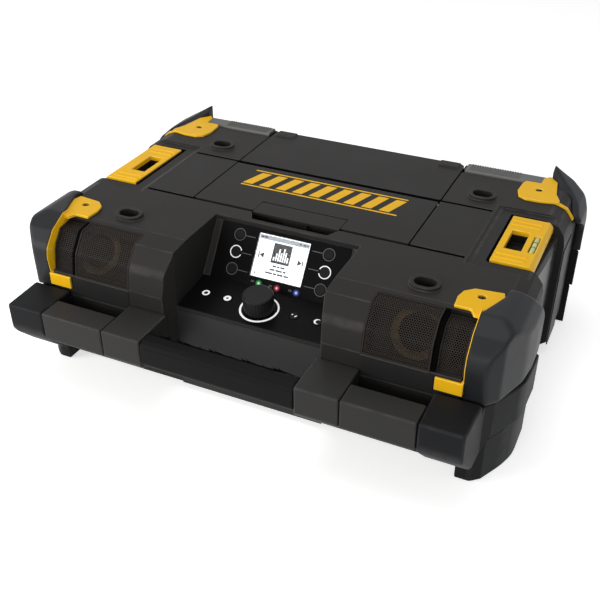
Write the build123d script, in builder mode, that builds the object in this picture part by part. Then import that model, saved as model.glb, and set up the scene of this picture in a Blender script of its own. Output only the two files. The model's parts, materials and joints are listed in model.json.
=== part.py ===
from build123d import *
import math
import os

os.makedirs("parts", exist_ok=True)

# Overall sizes. X runs across, Y from front (-) to back (+), Z up from the floor.
width = 444.0
depth = 330.0
deck_height = 138.0
half_width = width / 2
front = -depth / 2
back = depth / 2

# Housing: two shells that meet at the seam
wall = 4.0
seam_height = deck_height - 58.0
base_height = 6.0
bar_reach = 42.5
body_front = front + bar_reach
corner_skin = 8.0
body_side_x = half_width - 7.5
body_back = back - corner_skin
deck_back = body_back - 19.0
ledge_drop = 14.0
body_half_front = half_width - 41.0
bay_wall_x = half_width - 20.5
bay_bulge = 5.0

# Corner protection: upper guard, middle bumper and foot, with a groove between them
guard_front = body_front - 2.0
guard_inner_x = half_width - 38.7
guard_band = 28.0
guard_crown = 4.5
wing_height = 11.5
bumper_bottom = seam_height - 37.0
groove_half = 1.2
front_guard_end = body_front + 85.5
rear_guard_start = back - 53.5
rear_stack_start = back - 28.0
trim_thickness = 2.2
trim_inner_x = guard_inner_x - 1.5
strip_end_y = body_front + 33.6

# Centre recess with the sloped display plate and the level console
recess_half = 67.0
recess_lip_y = body_front + 88.2
plate_top = deck_height - 5.0
plate_foot_y = recess_lip_y - 28.2
plate_foot_z = plate_top - 40.6
console_front_y = plate_foot_y - 44.8
console_front_z = plate_foot_z - 5.9
panel_thickness = 3.0
panel_rim = 6.0
plate_half = 60.5
display_width = 47.8
display_height = 38.2
preset_x = 41.6
preset_pitch = 15.1
preset_radius = 4.3
console_key_radius = 4.0
console_key_x = (31.0, 51.6)
key_clearance = 0.3
key_travel = 0.8
knob_radius = 13.0
knob_height = 16.0
shaft_radius = 3.0

# Lid over the storage well, with its catch
lid_half = half_width - 121.0
lid_gap = 1.3
lid_front_y = recess_lip_y + 20.4
lid_back_y = deck_back - 67.8
lid_thickness = 3.3
hinge_barrel = 3.2
pin_radius = 1.5
pin_fit = 0.05
groove_width = 3.6
groove_depth = 3.0
catch_half = 40.5
catch_back_y = lid_front_y + 17.9
catch_front_y = lid_front_y - 3.3
finger_well_front = lid_front_y - 15.4
finger_well_depth = 8.5
finger_half = 43.0
hook_back_y = lid_front_y - 1.0
seal_depth = 1.5
shoulder_x = half_width - 71.0
shoulder_drop = 2.6
well_half = lid_half - 9.0
well_front = lid_front_y + 9.9
well_back = lid_back_y - 12.2
well_floor = deck_height - 78.0
well_wall = 2.5
seal_y = (well_front + well_back) / 2
seal_inner = (2 * well_half + 4, well_back - well_front + 3)
seal_outer = (2 * well_half + 8, well_back - well_front + 6)

# Side latches
latch_inner_x = half_width - 54.5
latch_front = front_guard_end + 27.7
latch_back = back - 92.6
shoulder_front = latch_front - 14.7
shoulder_back = latch_back + 13.6
latch_thickness = 4.8
latch_gap = 1.5
latch_barrel = 3.4
latch_swing = 6.6
latch_outer_x = half_width - 19.5
latch_top = deck_height - 0.9

# Speakers
speaker_x = half_width - 84.4
speaker_y = body_front + 22.5
speaker_z = deck_height - 23.0
speaker_radius = 21.5
grille_thickness = 2.2
grille_inner_x = half_width - 118.4
grille_split = (half_width - 65.0, half_width - 61.0)
grille_outer_x = trim_inner_x - 0.6

# Carrying bar across the front
bar_top = deck_height - 52.0
bar_bottom = bar_top - 25.6
arm_inner_x = 67.2
arm_outer_x = 103.9
cover_outer_x = half_width - 58.6
joint_gap = 0.6

# Screws that hold the shells together, and the small ones in the corner trims
screw_radius = 2.0
screw_head = 3.8
screw_head_depth = 2.6
screw_top = seam_height + 16.0
trim_screw_radius = 3.2

# Stacking sockets in the deck
socket_x = half_width - 88.5
socket_front_y = body_front + 53.5
socket_back_y = back - 69.1
socket_hole = (18.0, 13.0)
socket_boss = (25.0, 20.0)
socket_rise = 3.0
socket_depth = 12.0


def save(piece, name):
    """Label one finished piece and write it as its own file."""
    piece.part.label = name
    export_step(piece.part, f"parts/{name}.step")


def one_side(solid, left=False):
    """A solid as a piece by itself, on the right or mirrored to the left."""
    with BuildPart() as piece:
        if left:
            mirror(solid, about=Plane.YZ)
        else:
            add(solid)
    return piece


def block(x, y, z):
    """A plain block between pairs of limits, for trimming."""
    centre = Pos((x[0] + x[1]) / 2, (y[0] + y[1]) / 2, (z[0] + z[1]) / 2)
    return centre * Box(x[1] - x[0], y[1] - y[0], z[1] - z[0], mode=Mode.PRIVATE)


def prism_x(points, x_low, x_high):
    """A side-view outline (y, z) carried across from x_low to x_high."""
    with BuildPart() as prism:
        with BuildSketch(Plane.YZ.offset(x_low)):
            with BuildLine():
                Polyline(*points, close=True)
            make_face()
        extrude(amount=x_high - x_low)
    return prism.part


def prism_y(points, y_low, y_high):
    """A front-view outline (x, z) carried back from y_low to y_high."""
    with BuildPart() as prism:
        with BuildSketch(Plane.XZ.offset(-y_high)):
            with BuildLine():
                Polyline(*points, close=True)
            make_face()
        extrude(amount=y_high - y_low)
    return prism.part


def prism_z(points, z_low, z_high):
    """A plan outline (x, y) carried up from z_low to z_high."""
    with BuildPart() as prism:
        with BuildSketch(Plane.XY.offset(z_low)):
            with BuildLine():
                Polyline(*points, close=True)
            make_face()
        extrude(amount=z_high - z_low)
    return prism.part


def largest(solid):
    """The main lump of a shape, without crumbs that a cut leaves behind."""
    return solid.solids().sort_by(SortBy.VOLUME)[-1]


def both_sides(solid):
    """A solid with its mirror image."""
    return [solid, mirror(solid, about=Plane.YZ, mode=Mode.PRIVATE)]


def in_pairs(solid):
    """A solid and its mirror image as one piece of two solids."""
    with BuildPart() as pair:
        add(solid)
        mirror(about=Plane.YZ)
    return pair


# ---------------------------------------------------------------- shared outlines
def guard_outline():
    """Plan of the whole case over its corner guards, cut at the corners."""
    right = [
        (half_width - 24, guard_front),
        (half_width - 14, guard_front + 12),
        (half_width - 3.5, guard_front + 42),
        (half_width - 1, guard_front + 64.5),
        (half_width, back - 26),
        (half_width - 5, back - 12),
        (half_width - 20, back),
    ]
    left = [(-x, y) for x, y in reversed(right)]
    with BuildSketch() as plan:
        with BuildLine():
            Polyline(*right, *left, close=True)
        make_face()
    return plan.sketch


def body_outline(inset):
    """Plan of the housings inside the guards, with the two latch bays."""
    bay_front = latch_front - latch_gap
    bay_back = latch_back + latch_gap
    bay = [
        (bay_wall_x, bay_front),
        (half_width, bay_front),
        (half_width, bay_back),
        (bay_wall_x + bay_bulge, bay_back),
    ]
    with BuildSketch() as plan:
        add(guard_outline())
        offset(amount=-corner_skin, kind=Kind.INTERSECTION)
        with Locations((0, (body_front + body_back) / 2)):
            Rectangle(2 * body_half_front, body_back - body_front)
        for side in (1, -1):
            with BuildLine():
                Polyline(*[(side * x, y) for x, y in bay], close=True)
            make_face(mode=Mode.SUBTRACT)
        if inset:
            offset(amount=-inset, kind=Kind.INTERSECTION)
    return plan.sketch


def body_section(inset):
    """Side view of the housings: faceted front, level deck, ledge at the back for the rails."""
    points = [
        (body_front + 14.5, base_height),
        (body_front + 10.5, base_height + 27),
        (body_front, base_height + 37),
        (body_front, deck_height - 38),
        (body_front + 4, deck_height - 18),
        (body_front + 16.5, deck_height - 2),
        (body_front + 36.5, deck_height),
        (deck_back, deck_height),
        (deck_back, deck_height - ledge_drop),
        (body_back, deck_height - ledge_drop),
        (body_back, base_height + 8),
        (body_back - 8, base_height),
    ]
    with BuildSketch(Plane.YZ.offset(-half_width)) as side:
        with BuildLine():
            Polyline(*points, close=True)
        make_face()
        if inset:
            offset(amount=-inset, kind=Kind.INTERSECTION)
    return side.sketch


def body_front_view(inset):
    """Front view of the housings: level deck with sloping side edges."""
    right = [
        (body_side_x - 11.5, base_height),
        (body_side_x, base_height + 9),
        (body_side_x, deck_height - 24),
        (body_side_x - 2.5, deck_height - 12),
        (body_side_x - 8.5, deck_height - 4),
        (body_side_x - 18.5, deck_height),
    ]
    left = [(-x, z) for x, z in reversed(right)]
    with BuildSketch(Plane.XZ.offset(-back)) as view:
        with BuildLine():
            Polyline(*right, *left, close=True)
        make_face()
        if inset:
            offset(amount=-inset, kind=Kind.INTERSECTION)
    return view.sketch


def body_form(inset=0.0):
    """Solid form of both housings, drawn in by inset on every side."""
    with BuildPart() as form:
        add(body_section(inset))
        extrude(amount=width, dir=(1, 0, 0))
        add(body_outline(inset))
        extrude(amount=deck_height, mode=Mode.INTERSECT)
        add(body_front_view(inset))
        extrude(amount=depth, dir=(0, -1, 0), mode=Mode.INTERSECT)
    return form.part


def recess_section(grow=0.0):
    """Side view of the open recess in the middle of the front."""
    points = [
        (recess_lip_y, deck_height + 20),
        (recess_lip_y, plate_top),
        (plate_foot_y, plate_foot_z),
        (console_front_y, console_front_z),
        (console_front_y - 2, -20),
        (front - 10, -20),
        (front - 10, deck_height + 20),
    ]
    with BuildSketch(Plane.YZ.offset(-half_width)) as side:
        with BuildLine():
            Polyline(*points, close=True)
        make_face()
        if grow:
            offset(amount=grow, kind=Kind.INTERSECTION)
    return side.sketch


def recess_form(grow=0.0, side_grow=0.0):
    """The open recess between the two pillars, wider at its mouth."""
    with BuildPart() as form:
        add(recess_section(grow))
        extrude(amount=width, dir=(1, 0, 0))
        flare = 4.0
        with BuildSketch(Plane.XY.offset(-20)):
            with BuildLine():
                half = recess_half + side_grow
                Polyline(
                    (half, 20),
                    (half, console_front_y),
                    (half + flare, body_front - 0.5),
                    (half + flare, front - 20),
                    (-half - flare, front - 20),
                    (-half - flare, body_front - 0.5),
                    (-half, console_front_y),
                    (-half, 20),
                    close=True,
                )
            make_face()
        extrude(amount=deck_height + 60, mode=Mode.INTERSECT)
    return form.part


body_solid = body_form()
body_inside = body_form(wall)
grille_inside = body_form(grille_thickness)
side_grille_inside = body_form(wall + grille_thickness)
side_grille_bed = body_form(wall + grille_thickness + 2.4)

# ---------------------------------------------------------------- display plate
slope_run = recess_lip_y - plate_foot_y
slope_rise = plate_top - plate_foot_z
slope_length = math.hypot(slope_run, slope_rise)
slope_plane = Plane(
    origin=(0, (recess_lip_y + plate_foot_y) / 2, (plate_top + plate_foot_z) / 2),
    x_dir=(1, 0, 0),
    z_dir=(0, -slope_rise, slope_run),
)
display_centre = 2.8
preset_centre = 1.1
preset_places = [
    (side * preset_x, preset_centre + row * preset_pitch) for side in (-1, 1) for row in (1, 0, -1)
]
light_places = [(-14.0, -21.0), (3.2, -21.4), (21.3, -21.3)]
light_radius = 1.4

with BuildPart() as display_plate:
    with BuildSketch(slope_plane):
        Rectangle(2 * plate_half, slope_length)
        with Locations((0, display_centre)):
            Rectangle(display_width, display_height, mode=Mode.SUBTRACT)
        with Locations(*preset_places):
            Circle(preset_radius + key_clearance, mode=Mode.SUBTRACT)
        with Locations(*light_places):
            Circle(light_radius, mode=Mode.SUBTRACT)
    extrude(amount=-panel_thickness)

lens_thickness = 1.2
with BuildPart() as display_lens:
    with BuildSketch(slope_plane):
        with Locations((0, display_centre)):
            Rectangle(display_width, display_height)
    extrude(amount=-lens_thickness)

module_depth = 5.0
module_margin = 3.0
with BuildPart() as display_module:
    with BuildSketch(slope_plane.offset(-lens_thickness)):
        with Locations((0, display_centre)):
            Rectangle(display_width, display_height)
    extrude(amount=lens_thickness - panel_thickness)
    with BuildSketch(slope_plane.offset(-panel_thickness)):
        with Locations((0, display_centre)):
            Rectangle(display_width + 2 * module_margin, display_height)
    extrude(amount=-module_depth)

with BuildPart() as indicator_lights:
    with BuildSketch(slope_plane):
        with Locations(*light_places):
            Circle(light_radius)
    extrude(amount=-panel_thickness)

board_gap = key_travel + 2.2
board_thickness = 1.6
with BuildPart() as key_board:
    with BuildSketch(slope_plane.offset(-panel_thickness - board_gap)):
        Rectangle(2 * (plate_half - panel_rim) - 2, slope_length - 8)
        with Locations((0, display_centre)):
            Rectangle(display_width + 2 * module_margin + 1, display_height + 1, mode=Mode.SUBTRACT)
    extrude(amount=-board_thickness)
    with BuildSketch(slope_plane.offset(-panel_thickness)):
        with GridLocations(2 * (plate_half - panel_rim) - 8, slope_length - 14, 2, 2):
            Circle(2.2)
    extrude(amount=-board_gap)


def preset_button(place):
    """A round key: cap in the plate, flange behind it, short stem over its switch."""
    with BuildPart() as button:
        with BuildSketch(slope_plane.offset(0.4)):
            with Locations(place):
                Circle(preset_radius)
        extrude(amount=-panel_thickness - 0.4 - 0.3)
        fillet(button.faces().sort_by(Axis(slope_plane.origin, slope_plane.z_dir))[-1].edges(), 0.3)
        with BuildSketch(slope_plane.offset(-panel_thickness - 0.3)):
            with Locations(place):
                Circle(preset_radius + 0.9)
        extrude(amount=-0.8)
    return button


# ---------------------------------------------------------------- console
console_run = plate_foot_y - console_front_y
console_fall = plate_foot_z - console_front_z
console_plane = Plane(
    origin=(0, (plate_foot_y + console_front_y) / 2, (plate_foot_z + console_front_z) / 2),
    x_dir=(1, 0, 0),
    z_dir=(0, -console_fall, console_run),
)
console_length = math.hypot(console_run, console_fall)
key_places = [(side * x, 0.2) for side in (-1, 1) for x in console_key_x]
knob_place = (0, -1.8)
ring_radius = knob_radius + 2.4
ring_width = 1.4
ring_depth = 1.0
console_margin = 0.4

with BuildPart() as control_panel:
    with BuildSketch(console_plane):
        Rectangle(2 * (recess_half - console_margin), console_length)
        with Locations(*key_places):
            Circle(console_key_radius + key_clearance, mode=Mode.SUBTRACT)
        with Locations(knob_place):
            Circle(shaft_radius + 1.5, mode=Mode.SUBTRACT)
    extrude(amount=-panel_thickness)
    with BuildSketch(console_plane):
        with Locations(knob_place):
            Circle(ring_radius + ring_width)
            Circle(ring_radius, mode=Mode.SUBTRACT)
    extrude(amount=-ring_depth, mode=Mode.SUBTRACT)

with BuildPart() as knob_ring:
    with BuildSketch(console_plane):
        with Locations(knob_place):
            Circle(ring_radius + ring_width)
            Circle(ring_radius, mode=Mode.SUBTRACT)
    extrude(amount=-ring_depth)

encoder_depth = 7.0
knob_lift = 0.8
with BuildPart() as encoder:
    with BuildSketch(console_plane.offset(-panel_thickness)):
        with Locations(knob_place):
            Rectangle(13, 12)
    extrude(amount=-encoder_depth)
    with BuildSketch(console_plane.offset(-panel_thickness)):
        with Locations(knob_place):
            Circle(shaft_radius)
    extrude(amount=panel_thickness + knob_height - 5)

with BuildPart() as volume_knob:
    with BuildSketch(console_plane.offset(knob_lift)):
        with Locations(knob_place):
            Circle(knob_radius)
    extrude(amount=knob_height - knob_lift)
    fillet(volume_knob.faces().sort_by(Axis(console_plane.origin, console_plane.z_dir))[-1].edges(), 1.5)
    flutes = 30
    with BuildSketch(console_plane.offset(knob_lift)):
        with Locations(knob_place):
            with PolarLocations(knob_radius + 0.35, flutes):
                Circle(0.8)
    extrude(amount=knob_height - knob_lift - 3.0, mode=Mode.SUBTRACT)
    with BuildSketch(console_plane.offset(knob_lift)):
        with Locations(knob_place):
            Circle(shaft_radius + pin_fit)
    extrude(amount=knob_height - knob_lift - 4, mode=Mode.SUBTRACT)


def console_key(place):
    """A small round key in the console."""
    with BuildPart() as key:
        with BuildSketch(console_plane.offset(0.5)):
            with Locations(place):
                Circle(console_key_radius)
        extrude(amount=-panel_thickness - 0.5 - 0.3)
        fillet(key.faces().sort_by(Axis(console_plane.origin, console_plane.z_dir))[-1].edges(), 0.3)
        with BuildSketch(console_plane.offset(-panel_thickness - 0.3)):
            with Locations(place):
                Circle(console_key_radius + 0.9)
        extrude(amount=-0.8)
    return key


# The grey front wall below the console, in one plate down to the base
fascia_lean = 2.0 / (console_front_z + 20)
with BuildPart() as fascia_plate:
    fascia_top = console_front_z - panel_thickness - 0.8
    fascia_top_y = console_front_y - fascia_lean * (console_front_z - fascia_top)
    fascia_foot_y = console_front_y - fascia_lean * (console_front_z - base_height)
    fascia_view = [
        (fascia_top_y, fascia_top),
        (fascia_foot_y, base_height),
        (fascia_foot_y + panel_thickness, base_height),
        (fascia_top_y + panel_thickness, fascia_top),
    ]
    add(prism_x(fascia_view, -recess_half + console_margin, recess_half - console_margin))

# ---------------------------------------------------------------- housing, both shells in one
frame_depth = 11.0
frame_rim = 7.0
lid_seat = deck_height - lid_thickness - 0.4
hinge_y = lid_back_y - hinge_barrel
hinge_z = deck_height - hinge_barrel
hinge_pin_inner = lid_half - 9
hinge_pin_outer = lid_half + lid_gap + 5
cover_front_y = lid_back_y + groove_width
cover_thickness = 5.0
latch_underside = latch_top - latch_thickness
latch_floor = latch_underside - latch_gap
pivot_x = latch_outer_x - latch_barrel
pivot_z = latch_underside - 3.2
pin_reach = 5.0
window_x = (latch_inner_x + 5.5, latch_inner_x + 20.0)
latch_middle = (latch_front + latch_back) / 2
window_y = (latch_middle - 18.0, latch_middle + 15.5)
socket_places = [(side * socket_x, y) for side in (-1, 1) for y in (socket_front_y, socket_back_y)]
column_radius = 5.0
column_x = half_width - 50
column_places = [(side * column_x, y) for side in (-1, 1) for y in (front_guard_end - 3, back - 55)]
grille_low = deck_height - 38
grille_high = deck_height - 0.6
grille_back = body_front + 34
window_margin = 3.0


def grille_region(x_low, x_high, margin=0.0):
    """Block that marks the stretch of the faceted front behind one grille."""
    return block(
        (x_low + margin, x_high - margin),
        (front, grille_back - margin),
        (grille_low + margin, grille_high - margin),
    )


strip_region = block((trim_inner_x, guard_inner_x), (front, strip_end_y), (bar_top + 1, deck_height + 60))


def skin(outer, inner, region):
    """The layer between two drawn-in forms of the housing, inside a region."""
    with BuildPart() as layer:
        add(outer)
        add(inner, mode=Mode.SUBTRACT)
        add(region, mode=Mode.INTERSECT)
    return layer.part


def cavity():
    """Hollow inside both housings, leaving the thick places solid."""
    lid_frame = block(
        (-lid_half - frame_rim, lid_half + frame_rim),
        (finger_well_front - 3, cover_front_y + 9),
        (deck_height - frame_depth, deck_height),
    )
    latch_bed = block(
        (latch_inner_x - 8, half_width),
        (latch_front - 8, latch_back + 8),
        (deck_height - 18, deck_height),
    )
    cover_bed = block(
        (-lid_half - frame_rim, lid_half + frame_rim),
        (cover_front_y, body_back),
        (deck_height - cover_thickness - 3, deck_height),
    )
    bed_region = grille_region(grille_split[0] + 0.5, guard_inner_x - 0.3, -5)
    grille_bed = skin(body_solid, side_grille_bed, bed_region)
    with BuildPart() as hollow:
        add(body_inside)
        add(recess_form(panel_thickness + wall, wall), mode=Mode.SUBTRACT)
        add([lid_frame, cover_bed], mode=Mode.SUBTRACT)
        add(both_sides(latch_bed), mode=Mode.SUBTRACT)
        add(both_sides(grille_bed), mode=Mode.SUBTRACT)
        with BuildSketch():
            with Locations(*column_places):
                Circle(column_radius)
        extrude(amount=deck_height, mode=Mode.SUBTRACT)
    return hollow.part


cavity_solid = cavity()
with BuildPart() as housing:
    add(body_solid)
    add(cavity_solid, mode=Mode.SUBTRACT)
    add(recess_form(), mode=Mode.SUBTRACT)
    # seats of the sloped plate, the console and the fascia, and the windows behind them
    with BuildSketch(slope_plane):
        Rectangle(2 * plate_half, slope_length)
    extrude(amount=-panel_thickness, mode=Mode.SUBTRACT)
    with BuildSketch(slope_plane):
        Rectangle(2 * (plate_half - panel_rim), slope_length - 5)
    extrude(amount=-panel_thickness - 3 * wall, mode=Mode.SUBTRACT)
    with BuildSketch(console_plane):
        Rectangle(2 * recess_half, console_length)
    extrude(amount=-panel_thickness, mode=Mode.SUBTRACT)
    with BuildSketch(console_plane):
        Rectangle(2 * (recess_half - panel_rim), console_length - 2 * panel_rim)
    extrude(amount=-panel_thickness - 2 * wall, mode=Mode.SUBTRACT)
    add(fascia_plate.part, mode=Mode.SUBTRACT)
    # long screws pass up through the columns
    with BuildSketch():
        with Locations(*column_places):
            Circle(screw_radius)
    extrude(amount=screw_top, mode=Mode.SUBTRACT)
    with BuildSketch(Plane.XY.offset(base_height)):
        with Locations(*column_places):
            Circle(screw_head)
    extrude(amount=screw_head_depth, mode=Mode.SUBTRACT)

# ---------------------------------------------------------------- top shell
with BuildPart() as top_shell:
    add(housing.part)
    split(bisect_by=Plane.XY.offset(seam_height), keep=Keep.TOP)
    # raised sockets that a case above locks into, each with its own floor
    with BuildSketch(Plane.XY.offset(deck_height - socket_depth)):
        with Locations(*socket_places):
            SlotOverall(*socket_boss)
    extrude(amount=socket_depth + socket_rise)
    with BuildSketch(Plane.XY.offset(deck_height + socket_rise)):
        with Locations(*socket_places):
            SlotOverall(*socket_hole)
    extrude(amount=2.5 - socket_depth - socket_rise, mode=Mode.SUBTRACT)
    # the deck drops outside a sloping edge beside each latch
    shoulder_view = [
        (shoulder_x, deck_height),
        (shoulder_x + 3.6, deck_height - shoulder_drop),
        (half_width, deck_height - shoulder_drop),
        (half_width, deck_height + 5),
        (shoulder_x, deck_height + 5),
    ]
    add(both_sides(prism_y(shoulder_view, shoulder_front, shoulder_back)), mode=Mode.SUBTRACT)
    # latch pockets, the round channel of the hinge and the hole under the window
    latch_pocket = block(
        (latch_inner_x - latch_gap, half_width),
        (latch_front - latch_gap, latch_back + latch_gap),
        (latch_floor, deck_height + 1),
    )
    window_well = block(
        (window_x[0] - 2, window_x[1] + 2),
        (window_y[0] - 3, window_y[1] + 3),
        (deck_height - 15, deck_height),
    )
    add(both_sides(latch_pocket), mode=Mode.SUBTRACT)
    add(both_sides(window_well), mode=Mode.SUBTRACT)
    channel_top = block(
        (pivot_x - latch_barrel - latch_gap, half_width),
        (latch_front - latch_gap, latch_back + latch_gap),
        (pivot_z, deck_height + 1),
    )
    swing_room = block(
        (pivot_x, half_width),
        (latch_front - latch_gap, latch_back + latch_gap),
        (pivot_z - latch_swing, deck_height + 1),
    )
    add(both_sides(channel_top), mode=Mode.SUBTRACT)
    add(both_sides(swing_room), mode=Mode.SUBTRACT)
    with BuildSketch(Plane.XZ.offset(-latch_back - latch_gap)):
        with Locations((pivot_x, pivot_z), (-pivot_x, pivot_z)):
            Circle(latch_barrel + latch_gap)
    extrude(amount=latch_back - latch_front + 2 * latch_gap, mode=Mode.SUBTRACT)
    with BuildSketch(Plane.XZ.offset(-latch_back - pin_reach)):
        with Locations((pivot_x, pivot_z), (-pivot_x, pivot_z)):
            Circle(pin_radius + pin_fit)
    extrude(amount=latch_back - latch_front + 2 * pin_reach, mode=Mode.SUBTRACT)
    # lid recess, hinge channel with its pin holes, and the mouth of the well
    lid_reach = lid_half + lid_gap
    lid_recess = block(
        (-lid_reach, lid_reach),
        (lid_front_y - lid_gap, cover_front_y),
        (lid_seat, deck_height + 1),
    )
    hinge_channel = block(
        (-lid_reach, lid_reach),
        (hinge_y - hinge_barrel - 1.5, cover_front_y),
        (hinge_z - hinge_barrel - 1, deck_height),
    )
    well_mouth = block((-well_half, well_half), (well_front, well_back), (deck_height - 20, deck_height))
    add([lid_recess, hinge_channel, well_mouth], mode=Mode.SUBTRACT)
    with BuildSketch(Plane.YZ.offset(-hinge_pin_outer)):
        with Locations((hinge_y, hinge_z)):
            Circle(pin_radius + pin_fit)
    extrude(amount=2 * hinge_pin_outer, mode=Mode.SUBTRACT)
    # finger well in front of the catch, crossed by the strike bar
    finger_plan = [
        (-finger_half, well_front + 1),
        (-finger_half, lid_front_y),
        (-finger_half + 8, finger_well_front),
        (finger_half - 8, finger_well_front),
        (finger_half, lid_front_y),
        (finger_half, well_front + 1),
    ]
    add(prism_z(finger_plan, deck_height - finger_well_depth, deck_height + 1), mode=Mode.SUBTRACT)
    strike_bar = block(
        (-finger_half, finger_half),
        (hook_back_y + 0.6, hook_back_y + 4),
        (deck_height - 7.5, deck_height - 4.2),
    )
    add(strike_bar)
    # groove for the seal round the mouth
    with BuildSketch(Plane.XY.offset(lid_seat)):
        with Locations((0, seal_y)):
            Rectangle(*seal_outer)
            Rectangle(*seal_inner, mode=Mode.SUBTRACT)
    extrude(amount=-seal_depth, mode=Mode.SUBTRACT)
    # seat of the rear cover
    cover_seat = block(
        (-lid_reach, lid_reach),
        (cover_front_y - 0.5, back),
        (deck_height - cover_thickness, deck_height + 1),
    )
    add(cover_seat, mode=Mode.SUBTRACT)
    # grooves that carry the lid's lines outwards
    for groove_y in (lid_front_y - groove_width / 2, lid_back_y + groove_width / 2):
        groove = block(
            (-shoulder_x + 2, shoulder_x - 2),
            (groove_y - groove_width / 2, groove_y + groove_width / 2),
            (deck_height - groove_depth, deck_height + 1),
        )
        add(groove, mode=Mode.SUBTRACT)
    # seats and windows of the grilles, with the deep joint between them
    main_region = grille_region(grille_inner_x, grille_split[0])
    side_region = grille_region(grille_split[1], grille_outer_x)
    joint_region = grille_region(grille_split[0], trim_inner_x)
    add(both_sides(skin(body_solid, grille_inside, main_region)), mode=Mode.SUBTRACT)
    add(both_sides(skin(body_solid, body_inside, joint_region)), mode=Mode.SUBTRACT)
    add(both_sides(skin(body_solid, side_grille_inside, side_region)), mode=Mode.SUBTRACT)
    add(both_sides(skin(body_solid, body_inside, strip_region)), mode=Mode.SUBTRACT)
    add(both_sides(grille_region(grille_inner_x, grille_split[0], window_margin)), mode=Mode.SUBTRACT)
    add(both_sides(grille_region(grille_split[1], grille_outer_x, window_margin)), mode=Mode.SUBTRACT)

# ---------------------------------------------------------------- base shell
inlet_x = half_width - 72.0
inlet_z = 50.0
inlet_size = (24.0, 16.0)
boss_radius = 4.0
board_size = (120.0, 78.0)
board_y = back - 57.0
board_z = 22.0

with BuildPart() as base_shell:
    add(housing.part)
    split(bisect_by=Plane.XY.offset(seam_height), keep=Keep.BOTTOM)
    # bosses under the circuit board
    with BuildSketch(Plane.XY.offset(base_height + wall)):
        with Locations((0, board_y)):
            with GridLocations(board_size[0] - 12, board_size[1] - 12, 2, 2):
                Circle(boss_radius)
    extrude(amount=board_z - base_height - wall)
    # opening for the mains inlet
    with BuildSketch(Plane.XZ.offset(-body_back)):
        with Locations((inlet_x, inlet_z)):
            Rectangle(*inlet_size)
    extrude(amount=wall, mode=Mode.SUBTRACT)

with BuildPart() as case_screws:
    with BuildSketch(Plane.XY.offset(base_height + 0.4)):
        with Locations(*column_places):
            Circle(screw_head - 0.2)
    extrude(amount=screw_head_depth - 0.4)
    with BuildSketch(Plane.XY.offset(base_height + screw_head_depth)):
        with Locations(*column_places):
            Circle(screw_radius - pin_fit)
    extrude(amount=screw_top - base_height - screw_head_depth - 2)

# ---------------------------------------------------------------- lid, catch and storage well
plug_gap = 1.5
plug_depth = 4.0
plug_front_y = catch_back_y + 8
pocket_gap = 0.4
trunnion_x = catch_half + 2.5
trunnion_radius = 0.8
catch_plate = lid_thickness - 0.8
catch_pin_y = catch_back_y - 2.4
catch_pin_z = deck_height - catch_plate / 2
lid_underside = deck_height - lid_thickness
hook_half = 11.0

with BuildPart() as compartment_lid:
    add(block((-lid_half, lid_half), (lid_front_y, hinge_y), (lid_underside, deck_height)))
    with BuildSketch(Plane.YZ.offset(-lid_half)):
        with Locations((hinge_y, hinge_z)):
            Circle(hinge_barrel)
    extrude(amount=2 * lid_half)
    # plug that drops into the well, and the floor of the catch's pocket
    plug = block(
        (-well_half + plug_gap, well_half - plug_gap),
        (plug_front_y, well_back - 6),
        (lid_underside - plug_depth, lid_underside),
    )
    pocket_floor = block(
        (-catch_half - 4, catch_half + 4),
        (well_front + 1, plug_front_y),
        (lid_underside - plug_depth, lid_underside),
    )
    add([plug, pocket_floor])
    catch_pocket = block(
        (-catch_half - pocket_gap, catch_half + pocket_gap),
        (lid_front_y - 1, catch_back_y),
        (lid_underside, deck_height + 1),
    )
    add(catch_pocket, mode=Mode.SUBTRACT)
    with BuildSketch(Plane.YZ.offset(-trunnion_x - 0.1)):
        with Locations((catch_pin_y, catch_pin_z)):
            Circle(trunnion_radius + pin_fit)
    extrude(amount=2 * trunnion_x + 0.2, mode=Mode.SUBTRACT)
    with BuildSketch(Plane.YZ.offset(-lid_half)):
        with Locations((hinge_y, hinge_z)):
            Circle(pin_radius + pin_fit)
    extrude(amount=2 * lid_half, mode=Mode.SUBTRACT)

with BuildPart() as lid_catch:
    paddle = block(
        (-catch_half, catch_half),
        (catch_front_y, catch_pin_y),
        (deck_height - catch_plate, deck_height),
    )
    hook = block(
        (-hook_half, hook_half),
        (hook_back_y - 1.8, hook_back_y),
        (deck_height - 8, deck_height - catch_plate),
    )
    add([paddle, hook])
    with BuildSketch(Plane.YZ.offset(-catch_half)):
        with Locations((catch_pin_y, catch_pin_z)):
            Circle(catch_plate / 2)
    extrude(amount=2 * catch_half)
    with BuildSketch(Plane.YZ.offset(-trunnion_x)):
        with Locations((catch_pin_y, catch_pin_z)):
            Circle(trunnion_radius)
    extrude(amount=2 * trunnion_x)

with BuildPart() as lid_seal:
    with BuildSketch(Plane.XY.offset(lid_seat - seal_depth)):
        with Locations((0, seal_y)):
            Rectangle(*seal_outer)
            Rectangle(*seal_inner, mode=Mode.SUBTRACT)
    extrude(amount=seal_depth + 0.3)

with BuildPart() as storage_well:
    well_rim = 8.0
    well_top = deck_height - frame_depth
    flange = block(
        (-well_half - well_rim, well_half + well_rim),
        (well_front - well_rim, well_back + well_rim),
        (well_top - well_wall, well_top),
    )
    tub = block(
        (-well_half - well_wall, well_half + well_wall),
        (well_front - well_wall, well_back + well_wall),
        (well_floor - well_wall, well_top),
    )
    hollow = block((-well_half, well_half), (well_front, well_back), (well_floor, well_top + 1))
    add([flange, tub])
    add(hollow, mode=Mode.SUBTRACT)

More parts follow.
